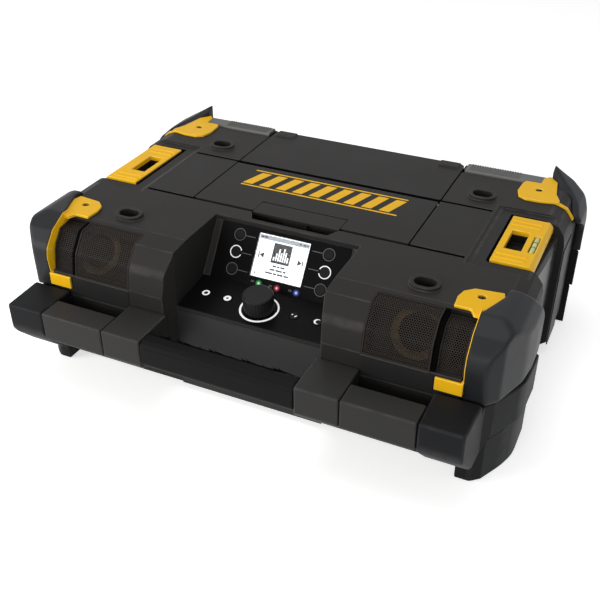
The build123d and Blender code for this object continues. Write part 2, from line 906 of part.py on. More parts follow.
port_size = (60.0, 26.0)
port_centre = (52.0 - well_half, well_floor + 32.0)
port_pitch = 18.0
with BuildPart() as port_panel:
    with BuildSketch(Plane.XZ.offset(-well_back)):
        with Locations(port_centre):
            RectangleRounded(*port_size, 3)
        with Locations((port_centre[0] - port_pitch, port_centre[1]), port_centre):
            Rectangle(13.5, 6.0, mode=Mode.SUBTRACT)
        with Locations((port_centre[0] + port_pitch, port_centre[1])):
            Circle(1.8, mode=Mode.SUBTRACT)
    extrude(amount=2.0)

dock_size = (52.0, well_back - well_front - 18.0)
dock_x = well_half - 34.0
dock_y = (well_front + well_back) / 2
dock_height = 10.0
with BuildPart() as battery_dock:
    with BuildSketch(Plane.XY.offset(well_floor)):
        with Locations((dock_x, dock_y)):
            Rectangle(*dock_size)
    extrude(amount=dock_height)
    with BuildSketch(Plane.XY.offset(well_floor + dock_height)):
        with Locations((dock_x - dock_size[0] / 2 + 3, dock_y), (dock_x + dock_size[0] / 2 - 3, dock_y)):
            Rectangle(6, dock_size[1])
    extrude(amount=8)
    with BuildSketch(Plane.XY.offset(well_floor + dock_height)):
        with Locations((dock_x, dock_y + 5)):
            with GridLocations(8, 1, 4, 1):
                Rectangle(1, dock_size[1] / 2 - 4)
    extrude(amount=5)

# ---------------------------------------------------------------- hinge pins
with BuildPart() as hinge_pins:
    with BuildSketch(Plane.YZ.offset(hinge_pin_inner)):
        with Locations((hinge_y, hinge_z)):
            Circle(pin_radius)
    extrude(amount=hinge_pin_outer - hinge_pin_inner)
    with BuildSketch(Plane.XZ.offset(-latch_back - pin_reach + 0.2)):
        with Locations((pivot_x, pivot_z)):
            Circle(pin_radius)
    extrude(amount=latch_back - latch_front + 2 * pin_reach - 0.4)
    mirror(about=Plane.YZ)

# ---------------------------------------------------------------- rear cover and rails
cover_wrap = 38.0
cover_reach = 5.0
rail_inner_x = lid_half + 3
rail_rise = 1.8
rail_outer_x = half_width - 44.0
bracket_x = (rail_outer_x - 19.0, rail_outer_x - 13.0)
ledge_z = deck_height - ledge_drop
bracket_top = deck_height - 6.0

with BuildPart() as rear_cover:
    cover_view = [
        (cover_front_y, deck_height - cover_thickness),
        (cover_front_y, deck_height),
        (body_back - 2, deck_height),
        (body_back + cover_reach, deck_height - 7),
        (body_back + cover_reach, deck_height - cover_wrap + 6),
        (body_back, deck_height - cover_wrap),
        (body_back, ledge_z),
        (deck_back, ledge_z),
        (deck_back, deck_height - cover_thickness),
    ]
    add(prism_x(cover_view, -lid_half, lid_half))
    pad_side = (lid_half - 24, lid_half - 4)
    pads = block(pad_side, (body_back - 14, body_back - 3), (deck_height, deck_height + 1.6))
    add(both_sides(pads))
    corner_cut = [(lid_half - 19, back), (lid_half + 1, body_back - 6), (lid_half + 1, back)]
    add(both_sides(prism_z(corner_cut, 0, deck_height + 5)), mode=Mode.SUBTRACT)

with BuildPart() as rear_rails:
    rail = block((rail_inner_x, rail_outer_x), (deck_back + 3, body_back), (ledge_z, deck_height + rail_rise))
    add(both_sides(rail))
    fillet(rear_rails.edges().filter_by(Axis.X).group_by(Axis.Z)[-1], 2.5)
    slot = block(bracket_x, (0, back), (0, bracket_top))
    add(both_sides(slot), mode=Mode.SUBTRACT)

rail_brackets = in_pairs(block(bracket_x, (deck_back, body_back + 2), (ledge_z, bracket_top)))

# ---------------------------------------------------------------- grilles
left_grille = one_side(skin(body_solid, grille_inside, main_region), left=True)
right_grille = one_side(skin(body_solid, grille_inside, main_region))
side_grilles = in_pairs(skin(body_inside, side_grille_inside, side_region))

# ---------------------------------------------------------------- speakers
baffle_thickness = 3.0
basket_depth = 9.0
basket_radius = 16.0
magnet_radius = 13.0
magnet_depth = 9.0
cone_throat = 7.0
frame_width = 5.0
speaker_plane = Plane(origin=(speaker_x, speaker_y, speaker_z), x_dir=(1, 0, 0), z_dir=(0, -16, 12.5))


def speaker_baffle():
    """Sloped board across the pillar that carries one driver."""
    with BuildPart() as baffle:
        with BuildSketch(speaker_plane):
            Rectangle(61, 90)
            Circle(speaker_radius - frame_width + 1, mode=Mode.SUBTRACT)
        extrude(amount=-baffle_thickness)
        add(cavity_solid, mode=Mode.INTERSECT)
    return largest(baffle.part)


def speaker_frame():
    """Front ring of a driver with the closed basket behind it."""
    with BuildPart() as basket:
        with BuildSketch(speaker_plane):
            Circle(speaker_radius)
            Circle(speaker_radius - frame_width, mode=Mode.SUBTRACT)
        extrude(amount=2)
        with BuildSketch(speaker_plane):
            Circle(speaker_radius - frame_width + 1)
        with BuildSketch(speaker_plane.offset(-basket_depth - baffle_thickness)):
            Circle(basket_radius - 2)
        loft()
        with BuildSketch(speaker_plane):
            Circle(speaker_radius - frame_width)
        with BuildSketch(speaker_plane.offset(-basket_depth - baffle_thickness + 1.5)):
            Circle(basket_radius - 4)
        loft(mode=Mode.SUBTRACT)
    return basket.part


def speaker_cone():
    """Paper cone inside the basket, closed by its dust cap."""
    with BuildPart() as cone:
        with BuildSketch(speaker_plane.offset(-0.5)):
            Circle(speaker_radius - frame_width - 0.6)
        with BuildSketch(speaker_plane.offset(-basket_depth)):
            Circle(cone_throat)
        loft()
        with BuildSketch(speaker_plane.offset(1.0)):
            Circle(speaker_radius - frame_width - 0.6)
        with BuildSketch(speaker_plane.offset(-basket_depth + 1.5)):
            Circle(cone_throat)
        loft(mode=Mode.SUBTRACT)
    return cone.part


def speaker_magnet():
    """Round magnet on the back of the basket."""
    with BuildPart() as magnet:
        with BuildSketch(speaker_plane.offset(-basket_depth - baffle_thickness)):
            Circle(magnet_radius)
        extrude(amount=-magnet_depth)
    return magnet.part


speaker_baffles = in_pairs(speaker_baffle())
speaker_frames = in_pairs(speaker_frame())
speaker_cones = in_pairs(speaker_cone())
speaker_magnets = in_pairs(speaker_magnet())

# ---------------------------------------------------------------- electronics
supply_size = (60.0, 58.0, 34.0)
supply_x = half_width - 94.0
supply_y = back - 65.0
with BuildPart() as main_board:
    with BuildSketch(Plane.XY.offset(board_z)):
        with Locations((0, board_y)):
            Rectangle(*board_size)
    extrude(amount=board_thickness)
    with BuildSketch(Plane.XY.offset(board_z + board_thickness)):
        with Locations((-30, board_y + 10), (18, board_y - 14)):
            Rectangle(26, 18)
        with Locations((42, board_y + 20), (42, board_y + 2), (-6, board_y - 20)):
            Circle(6)
    extrude(amount=9)

with BuildPart() as power_supply:
    with BuildSketch(Plane.XY.offset(base_height + wall)):
        with Locations((supply_x, supply_y)):
            Rectangle(supply_size[0], supply_size[1])
    extrude(amount=supply_size[2])

with BuildPart() as mains_inlet:
    with BuildSketch(Plane.XZ.offset(-body_back - 2)):
        with Locations((inlet_x, inlet_z)):
            RectangleRounded(inlet_size[0] + 8, inlet_size[1] + 6, 2)
    extrude(amount=2)
    with BuildSketch(Plane.XZ.offset(-body_back)):
        with Locations((inlet_x, inlet_z)):
            Rectangle(*inlet_size)
    extrude(amount=22)
    with BuildSketch(Plane.XZ.offset(-body_back - 2)):
        with Locations((inlet_x, inlet_z)):
            SlotOverall(inlet_size[0] - 6, inlet_size[1] - 6)
    extrude(amount=15, mode=Mode.SUBTRACT)
    with BuildSketch(Plane.XZ.offset(-body_back + 13)):
        with Locations((inlet_x - 4, inlet_z), (inlet_x + 4, inlet_z)):
            Circle(1.2)
    extrude(amount=-11)

# ---------------------------------------------------------------- corner bumpers, guards, feet
bumper_top = seam_height - groove_half
bumper_low = bumper_bottom + 0.2
guard_low = seam_height + groove_half
bar_step_y = guard_front - joint_gap


def corner_piece(plan, side_view, front_view):
    """One right-hand corner piece: three outlines crossed, hollowed by the housing."""
    with BuildPart() as piece:
        add(prism_z(plan, 0, deck_height + 20))
        add(prism_x(side_view, 0, half_width + 5), mode=Mode.INTERSECT)
        add(prism_y(front_view, front - 5, back + 5), mode=Mode.INTERSECT)
        add(body_solid, mode=Mode.SUBTRACT)
    return piece.part


front_tab_plan = [
    (half_width - 60, body_front + 33),
    (half_width - 61, body_front + 45.5),
    (half_width - 59, body_front + 54.5),
    (half_width - 52, body_front + 61),
    (half_width - 30, body_front + 63.5),
    (half_width - 28, body_front + 56.5),
    (half_width - 31, body_front + 45.5),
    (guard_inner_x, body_front + 27),
    (guard_inner_x - 5, body_front + 27),
    (half_width - 47.5, body_front + 33),
]
rear_tab_plan = [
    (half_width - 59, back - 57),
    (half_width - 62, back - 47),
    (half_width - 61, back - 30),
    (half_width - 59, back - 25),
    (half_width - 45.4, back - 24.5),
    (half_width - 45, back - 13),
    (half_width - 40, back - 7),
    (half_width - 32, back - 17),
    (half_width - 28, back - 42),
    (half_width - 23, rear_guard_start),
    (half_width - 23, rear_guard_start - 4),
    (half_width - 39, back - 61),
    (half_width - 52, back - 61),
]
trim_screw_x = half_width - 44.2
trim_screw_y = (body_front + 51.7, back - 39.5)
screw_places = [(side * trim_screw_x, y) for side in (-1, 1) for y in trim_screw_y]
tab_top = deck_height + trim_thickness
band_y = (rear_guard_start - 4.0, rear_guard_start)
band_region = block((half_width - 29, half_width), band_y, (deck_height - 13, deck_height + 5))
rear_band = skin(body_form(-1.4), body_solid, band_region)

front_guard_plan = [
    (guard_inner_x, guard_front),
    (half_width - 24, guard_front),
    (half_width - 14, guard_front + 12),
    (half_width - 3.5, guard_front + 42),
    (half_width - 1, guard_front + 64.5),
    (half_width - 1, front_guard_end),
    (half_width - guard_band, front_guard_end),
    (half_width - guard_band, guard_front + 60),
    (guard_inner_x, guard_front + 31),
]
front_guard_side = [
    (front_guard_end, guard_low),
    (front_guard_end, deck_height - 20),
    (front_guard_end - 17, deck_height + guard_crown),
    (guard_front + 28.5, deck_height + guard_crown),
    (guard_front + 12.5, deck_height - 4),
    (guard_front + 1.7, deck_height - 17),
    (guard_front, deck_height - 26),
    (guard_front + 3, guard_low),
]
guard_front_view = [
    (150, 0),
    (half_width - 1.5, 0),
    (half_width - 1.5, guard_low),
    (half_width, deck_height - 30),
    (half_width - 2.5, deck_height - 12),
    (half_width - 9, deck_height - 2),
    (half_width - 20, deck_height + guard_crown),
    (150, deck_height + guard_crown),
]
rear_guard_plan = [
    (guard_inner_x, back),
    (half_width - 20, back),
    (half_width - 5, back - 12),
    (half_width, back - 26),
    (half_width, rear_guard_start),
    (half_width - 15, rear_guard_start),
    (half_width - guard_band, back - 34),
    (guard_inner_x, back - 20),
]
rear_guard_side = [
    (rear_stack_start, guard_low),
    (rear_stack_start, deck_height - 30),
    (rear_guard_start, deck_height - 16),
    (rear_guard_start, deck_height - 10),
    (back - 25, deck_height - 1),
    (back - 10, deck_height + 7),
    (back, deck_height + wing_height),
    (back, guard_low),
]
rear_front_view = [
    (150, 0),
    (half_width, 0),
    (half_width, deck_height - 22),
    (half_width - 1.5, deck_height - 14),
    (half_width - 8, deck_height - 5.5),
    (half_width - 24, deck_height + 3),
    (half_width - 38, deck_height + wing_height),
    (150, deck_height + wing_height),
]

strip_lip = 0.6
strip_fall = wall + body_front - guard_front


def guard_profile(x, inset=0.0):
    """Side view of the front guard at a distance from the middle, drawn in by inset."""
    with BuildSketch(Plane.YZ.offset(x)) as profile:
        with BuildLine():
            Polyline(*front_guard_side, close=True)
        make_face()
        if inset:
            offset(amount=-inset, kind=Kind.INTERSECTION)
    return profile.sketch


with BuildPart() as strip_form:
    add(guard_profile(guard_inner_x - strip_lip))
    extrude(amount=strip_lip, dir=(1, 0, 0))
    add(guard_profile(guard_inner_x - strip_lip))
    add(guard_profile(trim_inner_x, strip_fall))
    loft()
front_strip = skin(strip_form.part, body_inside, strip_region)


def front_trim():
    """Yellow trim of a front corner: tab on the deck, strip down the edge, block at its foot."""
    with BuildPart() as trim:
        add(prism_z(front_tab_plan, deck_height - 3, tab_top))
        foot_block = block(
            (half_width - 60, guard_inner_x),
            (guard_front - 0.3, body_front + 3),
            (bar_top + 1, deck_height - 40),
        )
        add(foot_block)
        add(body_solid, mode=Mode.SUBTRACT)
        add(front_strip)
        with BuildSketch(Plane.XY.offset(deck_height - 3)):
            with Locations(*screw_places):
                Circle(trim_screw_radius)
        extrude(amount=10, mode=Mode.SUBTRACT)
    return trim.part


def rear_trim():
    """Yellow tab of a rear corner."""
    with BuildPart() as trim:
        add(prism_z(rear_tab_plan, deck_height - 5, tab_top))
        add(rear_band)
        add(body_solid, mode=Mode.SUBTRACT)
        add(rear_rails.part, mode=Mode.SUBTRACT)
        add(rail_brackets.part, mode=Mode.SUBTRACT)
        with BuildSketch(Plane.XY.offset(deck_height - 3)):
            with Locations(*screw_places):
                Circle(trim_screw_radius)
        extrude(amount=10, mode=Mode.SUBTRACT)
    return trim.part


front_trim_solid = front_trim()
front_trims = in_pairs(front_trim_solid)


def guard(plan, side_view, front_view, trim):
    """One right-hand upper guard, cut clear of its yellow trim."""
    with BuildPart() as piece:
        add(corner_piece(plan, side_view, front_view))
        add(trim, mode=Mode.SUBTRACT)
    return largest(piece.part)


front_guard = guard(front_guard_plan, front_guard_side, guard_front_view, front_trim_solid)
rear_tab_space = prism_z(rear_tab_plan, deck_height - 1.5, deck_height + 60)
rear_guard = guard(rear_guard_plan, rear_guard_side, rear_front_view, rear_tab_space)
front_right_guard = one_side(front_guard)
front_left_guard = one_side(front_guard, left=True)
rear_right_guard = one_side(rear_guard)
rear_left_guard = one_side(rear_guard, left=True)


def rear_trim_seated():
    """The rear tab, resting on the guard where it leaves the deck."""
    with BuildPart() as trim:
        add(rear_trim())
        add(rear_guard, mode=Mode.SUBTRACT)
    return largest(trim.part)


rear_trims = in_pairs(rear_trim_seated())

with BuildPart() as trim_screws:
    with BuildSketch(Plane.XY.offset(deck_height)):
        with Locations(*screw_places):
            Circle(trim_screw_radius - 0.05)
    extrude(amount=trim_thickness - 0.8)

full_view = [(150, 0), (half_width + 2, 0), (half_width + 2, deck_height), (150, deck_height)]
front_bumper_plan = [
    (cover_outer_x, front),
    (half_width - 24, front),
    (half_width - 22, guard_front + 7),
    (half_width - 16, guard_front + 15.5),
    (half_width - 1, guard_front + 46.5),
    (half_width, front_guard_end + 1),
    (half_width - 24, front_guard_end + 1),
    (half_width - 60, body_front + 20),
    (cover_outer_x, body_front + 10),
]
front_bumper_side = [
    (front, bar_top),
    (front, bar_bottom),
    (front + 26, bumper_low - 10),
    (body_front + 4.5, bumper_low - 10),
    (body_front + 10.5, bumper_low),
    (front_guard_end + 1, bumper_low),
    (front_guard_end + 1, bumper_top),
    (bar_step_y, bumper_top),
    (bar_step_y, bar_top),
]
front_bumper = largest(corner_piece(front_bumper_plan, front_bumper_side, full_view))
front_left_bumper = one_side(front_bumper, left=True)
front_right_bumper = one_side(front_bumper)

rear_bumper_plan = [
    (guard_inner_x, back - 1),
    (half_width - 21, back - 1),
    (half_width - 6, back - 13),
    (half_width - 1, back - 26),
    (half_width - 1, rear_stack_start),
    (half_width - 18, rear_stack_start),
    (guard_inner_x, back - 18),
]
rear_bumper_side = [
    (rear_stack_start, bumper_low),
    (rear_stack_start, bumper_top),
    (back, bumper_top),
    (back, bumper_low),
]
rear_bumpers = in_pairs(largest(corner_piece(rear_bumper_plan, rear_bumper_side, full_view)))

foot_top = bumper_low - 2 * groove_half
front_foot_plan = [
    (guard_inner_x, body_front + 4.5),
    (half_width - 28, body_front + 4.5),
    (half_width - 19, body_front + 12.5),
    (half_width - 8.5, body_front + 33.5),
    (half_width - 3, body_front + 50.5),
    (half_width - 3, front_guard_end),
    (half_width - 26, front_guard_end),
    (half_width - 26, body_front + 52),
    (guard_inner_x, body_front + 34),
]
front_foot_side = [
    (body_front + 5.5, 0),
    (body_front + 5.5, foot_top - 9),
    (body_front + 11.5, foot_top),
    (front_guard_end, foot_top),
    (front_guard_end, 0),
]
rear_foot_plan = [
    (guard_inner_x, back - 3),
    (half_width - 23, back - 3),
    (half_width - 8, back - 15),
    (half_width - 3, back - 26),
    (half_width - 3, rear_stack_start),
    (half_width - 28, rear_stack_start),
    (guard_inner_x, back - 22),
]
rear_foot_side = [(rear_stack_start, 0), (rear_stack_start, foot_top), (back, foot_top), (back, 0)]
front_foot = largest(corner_piece(front_foot_plan, front_foot_side, full_view))
rear_foot = largest(corner_piece(rear_foot_plan, rear_foot_side, full_view))
feet = in_pairs([front_foot, rear_foot])

# ---------------------------------------------------------------- carrying bar
core_y = (front + 4.5, front + 14)
core_z = (bar_top - 20, bar_top - 6)
grip_back = front + 18
trench_floor = bar_top - 17
cover_shelf_y = front + 23

arm_view = [
    (front, bar_top),
    (front, bar_bottom),
    (front + 5, bar_bottom - 4),
    (body_front, bar_bottom - 10),
    (body_front, bar_top),
]
with BuildPart() as handle_frame:
    arm_in = arm_inner_x + joint_gap / 2
    arm_out = arm_outer_x - joint_gap / 2
    add(both_sides(prism_x(arm_view, arm_in, arm_out)))
    add(block((-arm_in, arm_in), core_y, core_z))

with BuildPart() as handle_grip:
    add(block((-arm_inner_x, arm_inner_x), (front, grip_back), (bar_bottom + 0.6, bar_top - 0.5)))
    fillet(handle_grip.edges().filter_by(Axis.X), 6)
    scallop_pitch = 28.0
    with BuildSketch(Plane.XY.offset(bar_bottom - 5)):
        with Locations((0, grip_back + 21)):
            with GridLocations(scallop_pitch, 1, 4, 1):
                Circle(23)
    extrude(amount=40, mode=Mode.SUBTRACT)
    add(block((-arm_inner_x, arm_inner_x), core_y, core_z), mode=Mode.SUBTRACT)

cover_view = [
    (front, bar_bottom),
    (front, bar_top),
    (cover_shelf_y, bar_top),
    (cover_shelf_y, trench_floor),
    (body_front, trench_floor),
    (body_front, bar_bottom - 4),
    (front + 10, bar_bottom - 4),
]
bar_cover = prism_x(cover_view, arm_outer_x + joint_gap / 2, cover_outer_x - joint_gap)
bar_covers = in_pairs(bar_cover)

# ---------------------------------------------------------------- side latches
latch_view = [
    (latch_inner_x, latch_underside),
    (latch_inner_x, latch_top),
    (latch_outer_x - 3.5, latch_top),
    (latch_outer_x, latch_top - 3.5),
    (latch_outer_x, pivot_z),
    (pivot_x - latch_barrel, pivot_z),
    (pivot_x - latch_barrel, latch_underside),
]
vial_x = (latch_outer_x - 10.2, latch_outer_x - 4.6)
vial_y = (latch_middle - 17.5, latch_middle + 11.5)
vial_radius = 2.2
vial_clearance = 0.15


def latch(with_vial):
    """One right-hand latch: plate, rolled outer edge, window and grip ribs."""
    with BuildPart() as plate:
        add(prism_y(latch_view, latch_front, latch_back))
        with BuildSketch(Plane.XZ.offset(-latch_back)):
            with Locations((pivot_x, pivot_z)):
                Circle(latch_barrel)
        extrude(amount=latch_back - latch_front)
        add(block(window_x, window_y, (0, deck_height + 5)), mode=Mode.SUBTRACT)
        if with_vial:
            add(block(vial_x, vial_y, (latch_top - 2 * vial_radius, deck_height + 5)), mode=Mode.SUBTRACT)
        with BuildSketch(Plane.XZ.offset(-latch_back)):
            with Locations((pivot_x, pivot_z)):
                Circle(pin_radius + pin_fit)
        extrude(amount=latch_back - latch_front, mode=Mode.SUBTRACT)
    return plate.part


right_latch = one_side(latch(with_vial=True))
left_latch = one_side(latch(with_vial=False), left=True)

with BuildPart() as spirit_vial:
    with BuildSketch(Plane.XZ.offset(-vial_y[1] + vial_clearance)):
        with Locations(((vial_x[0] + vial_x[1]) / 2, latch_top - vial_radius)):
            Circle(vial_radius)
    extrude(amount=vial_y[1] - vial_y[0] - 2 * vial_clearance)

# ---------------------------------------------------------------- write every piece
pieces = {
    "base_shell": base_shell,
    "top_shell": top_shell,
    "case_screws": case_screws,
    "display_plate": display_plate,
    "display_lens": display_lens,
    "display_module": display_module,
    "indicator_lights": indicator_lights,
    "key_board": key_board,
    "control_panel": control_panel,
    "knob_ring": knob_ring,
    "encoder": encoder,
    "volume_knob": volume_knob,
    "fascia_plate": fascia_plate,
    "compartment_lid": compartment_lid,
    "lid_catch": lid_catch,
    "lid_seal": lid_seal,
    "storage_well": storage_well,
    "port_panel": port_panel,
    "battery_dock": battery_dock,
    "hinge_pins": hinge_pins,
    "rear_cover": rear_cover,
    "rear_rails": rear_rails,
    "rail_brackets": rail_brackets,
    "left_grille": left_grille,
    "right_grille": right_grille,
    "side_grilles": side_grilles,
    "speaker_baffles": speaker_baffles,
    "speaker_frames": speaker_frames,
    "speaker_cones": speaker_cones,
    "speaker_magnets": speaker_magnets,
    "main_board": main_board,
    "power_supply": power_supply,
    "mains_inlet": mains_inlet,
    "front_left_guard": front_left_guard,
    "front_right_guard": front_right_guard,
    "rear_left_guard": rear_left_guard,
    "rear_right_guard": rear_right_guard,
    "front_left_bumper": front_left_bumper,
    "front_right_bumper": front_right_bumper,
    "rear_bumpers": rear_bumpers,
    "feet": feet,
    "front_trims": front_trims,
    "rear_trims": rear_trims,
    "trim_screws": trim_screws,
    "handle_frame": handle_frame,
    "handle_grip": handle_grip,
    "bar_covers": bar_covers,
    "left_latch": left_latch,
    "right_latch": right_latch,
    "spirit_vial": spirit_vial,
}
for name, piece in pieces.items():
    save(piece, name)
for number, place in enumerate(preset_places, start=1):
    save(preset_button(place), f"preset_button_{number}")
for number, place in enumerate(key_places, start=1):
    save(console_key(place), f"console_key_{number}")
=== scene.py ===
import json
import math

import bmesh
import bpy
from mathutils import Matrix, Vector

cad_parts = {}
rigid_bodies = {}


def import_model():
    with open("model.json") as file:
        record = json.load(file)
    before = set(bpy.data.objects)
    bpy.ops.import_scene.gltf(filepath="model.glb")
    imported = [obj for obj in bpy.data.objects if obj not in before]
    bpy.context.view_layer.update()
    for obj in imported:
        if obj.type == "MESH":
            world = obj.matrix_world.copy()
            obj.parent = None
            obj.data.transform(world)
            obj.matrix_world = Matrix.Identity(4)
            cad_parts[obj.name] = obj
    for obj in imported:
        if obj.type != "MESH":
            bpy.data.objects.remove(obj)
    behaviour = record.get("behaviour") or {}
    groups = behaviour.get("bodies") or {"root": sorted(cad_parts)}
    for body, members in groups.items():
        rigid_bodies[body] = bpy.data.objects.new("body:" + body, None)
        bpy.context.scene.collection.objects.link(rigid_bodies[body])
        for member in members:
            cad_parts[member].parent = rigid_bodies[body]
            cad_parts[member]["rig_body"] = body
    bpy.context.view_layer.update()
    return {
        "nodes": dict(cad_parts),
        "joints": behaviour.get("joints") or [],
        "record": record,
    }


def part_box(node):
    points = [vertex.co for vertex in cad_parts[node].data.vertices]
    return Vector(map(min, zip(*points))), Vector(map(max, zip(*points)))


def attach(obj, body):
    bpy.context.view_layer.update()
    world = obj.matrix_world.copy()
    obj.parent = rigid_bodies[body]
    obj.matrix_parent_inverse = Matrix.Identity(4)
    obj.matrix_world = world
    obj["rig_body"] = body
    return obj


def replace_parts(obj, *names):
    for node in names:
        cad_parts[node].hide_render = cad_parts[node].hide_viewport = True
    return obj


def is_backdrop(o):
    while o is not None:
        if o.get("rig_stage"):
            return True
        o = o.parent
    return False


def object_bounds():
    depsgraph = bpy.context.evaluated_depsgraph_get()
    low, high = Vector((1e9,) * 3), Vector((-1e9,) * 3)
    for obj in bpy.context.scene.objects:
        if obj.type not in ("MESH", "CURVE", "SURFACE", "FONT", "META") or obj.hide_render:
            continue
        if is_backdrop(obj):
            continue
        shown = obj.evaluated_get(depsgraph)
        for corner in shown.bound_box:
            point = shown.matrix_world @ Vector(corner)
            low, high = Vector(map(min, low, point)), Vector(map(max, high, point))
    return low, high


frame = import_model()


# ---------------------------------------------------------------- viewpoint
# The radio is looked at from its right front corner and a little above,
# the way it is seen when it stands on a bench at arm's length.
MM = 0.001
eye = Vector((284.5, -619.7, 492.3)) * MM
looked_at = Vector((0.0, -6.7, 50.4)) * MM
viewpoint = bpy.data.objects.new("viewpoint", bpy.data.cameras.new("viewpoint"))
viewpoint.data.lens = 52.68
viewpoint.data.sensor_width = 36.0
viewpoint.location = eye
viewpoint.rotation_euler = (looked_at - eye).to_track_quat("-Z", "Y").to_euler()
bpy.context.scene.collection.objects.link(viewpoint)
bpy.context.scene.camera = viewpoint
bpy.context.scene.view_settings.view_transform = "Standard"


# ---------------------------------------------------------------- bench top
# A wide pale sheet that the feet stand on. It takes the soft shadow of the case
# and runs out into the same white as the room.
def add(tree, kind, inputs=None, **settings):
    """A new node in tree. Inputs maps a socket's name or number to a value or to the output that feeds it."""
    node = tree.nodes.new(kind)
    for name, value in settings.items():
        setattr(node, name, value)
    for name, value in (inputs or {}).items():
        if isinstance(value, bpy.types.NodeSocket):
            tree.links.new(value, node.inputs[name])
        else:
            node.inputs[name].default_value = value
    return node


def math_node(tree, operation, first, second=0.0, third=0.0):
    """The result of a sum on numbers or sockets."""
    return add(tree, "ShaderNodeMath", {0: first, 1: second, 2: third}, operation=operation).outputs[0]


def grey(level):
    """A neutral colour."""
    return (level, level, level)


def opaque(colour):
    """A colour as a socket takes it; the output that makes a colour stays as it is."""
    return colour if isinstance(colour, bpy.types.NodeSocket) else (*colour, 1)


def colour_between(tree, factor, first, second):
    """The colour between two others, each given as a colour or as the output that makes it."""
    mix = add(tree, "ShaderNodeMix", {0: factor, 6: opaque(first), 7: opaque(second)}, data_type="RGBA")
    return mix.outputs[2]


def new_material(name):
    """An empty material, its tree and the node that everything runs into."""
    material = bpy.data.materials.new(name)
    material.use_nodes = True
    material.node_tree.nodes.clear()
    return material, material.node_tree, add(material.node_tree, "ShaderNodeOutputMaterial")


def object_place(tree):
    """The point on the piece, in metres, from the middle of the footprint."""
    return add(tree, "ShaderNodeTexCoord").outputs["Object"]


def mottle(tree, scale, detail=2.0):
    """Cloudy noise over the piece, with scale patches in a metre."""
    clouds = add(tree, "ShaderNodeTexNoise", {"Vector": object_place(tree), "Scale": scale, "Detail": detail})
    return clouds.outputs[0]


def seen_directly(tree):
    """1 for rays from the eye, off gloss or through glass, 0 for the light that falls on things."""
    path = add(tree, "ShaderNodeLightPath")
    mirrored = math_node(tree, "MAXIMUM", path.outputs["Is Camera Ray"], path.outputs["Is Glossy Ray"])
    return math_node(tree, "MAXIMUM", mirrored, path.outputs["Is Transmission Ray"])


sheet_radius = 4.0
sheet_lift = 0.60
bench, tree, output = new_material("bench_sheet")
paper = colour_between(tree, mottle(tree, 3.0), grey(0.84), grey(0.88))
matt = add(tree, "ShaderNodeBsdfDiffuse", {"Color": paper})
lift = math_node(tree, "MULTIPLY", seen_directly(tree), sheet_lift)
glow = add(tree, "ShaderNodeEmission", {"Strength": lift})
both = add(tree, "ShaderNodeAddShader", {0: matt.outputs[0], 1: glow.outputs[0]})
tree.links.new(both.outputs[0], output.inputs["Surface"])


def new_object(name, mesh):
    """An object of the scene that holds mesh."""
    made = bpy.data.objects.new(name, mesh)
    bpy.context.scene.collection.objects.link(made)
    return made


sheet = bmesh.new()
bmesh.ops.create_circle(sheet, cap_ends=True, segments=96, radius=sheet_radius)
sheet_mesh = bpy.data.meshes.new("bench_top")
sheet.to_mesh(sheet_mesh)
sheet.free()
sheet_mesh.materials.append(bench)
new_object("bench_top", sheet_mesh)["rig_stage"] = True


# ---------------------------------------------------------------- light of the room
# Even light from a pale room, broad low lamps at the front left and in front, a
# weaker one overhead and a cool strip that grazes the right side.
room = bpy.data.worlds.new("room")
bpy.context.scene.world = room
room.use_nodes = True
tree = room.node_tree
tree.nodes.clear()
room_light = 0.34
strength = math_node(tree, "MULTIPLY_ADD", seen_directly(tree), 1.0 - room_light, room_light)
background = add(tree, "ShaderNodeBackground", {"Color": (0.99, 0.995, 1.0, 1), "Strength": strength})
add(tree, "ShaderNodeOutputWorld", {"Surface": background.outputs[0]})


def soft_lamp(name, place, size, power, colour):
    """A rectangular lamp that faces the middle of the radio."""
    data = bpy.data.lights.new(name, "AREA")
    data.shape = "RECTANGLE"
    data.size, data.size_y = size
    data.energy = power
    data.color = colour
    lamp = bpy.data.objects.new(name, data)
    lamp.location = place
    lamp.rotation_euler = (looked_at - Vector(place)).to_track_quat("-Z", "Y").to_euler()
    bpy.context.scene.collection.objects.link(lamp)


soft_lamp("front_left_lamp", (-1.15, -0.95, 0.48), (0.8, 0.5), 11.0, (1.0, 0.985, 0.96))
soft_lamp("front_lamp", (0.1, -1.4, 0.55), (0.8, 0.5), 5.0, (1.0, 0.99, 0.97))
soft_lamp("overhead_lamp", (-0.1, -0.1, 1.35), (0.9, 0.7), 5.2, (1.0, 0.99, 0.97))
soft_lamp("side_strip", (1.1, 0.1, 0.30), (0.25, 0.9), 0.6, (0.90, 0.95, 1.0))


# ---------------------------------------------------------------- housings
# The two black shells are injection moulded in impact-proof plastic with a
# fine spark texture. Their edges are rounded in the mould, and a paler colour on the rounded
# edges is a painted highlight, broken into patches of wear.
def shader_group(name, inputs, outputs):
    """An empty shader group with named number inputs and named outputs, and its two ends."""
    group = bpy.data.node_groups.new(name, "ShaderNodeTree")
    for label, value in inputs.items():
        socket = group.interface.new_socket(name=label, in_out="INPUT", socket_type="NodeSocketFloat")
        socket.default_value = value
    for label in outputs:
        group.interface.new_socket(name=label, in_out="OUTPUT", socket_type="NodeSocketFloat")
    return group, add(group, "NodeGroupInput"), add(group, "NodeGroupOutput")


def place_group(tree, group, values):
    """The outputs of a shader group that is placed in tree with its own values."""
    return add(tree, "ShaderNodeGroup", values, node_tree=group).outputs


def per_metre(tree, per_mm):
    """Turns a count per mm into the count per metre that textures take."""
    return math_node(tree, "MULTIPLY", per_mm, 1 / MM)


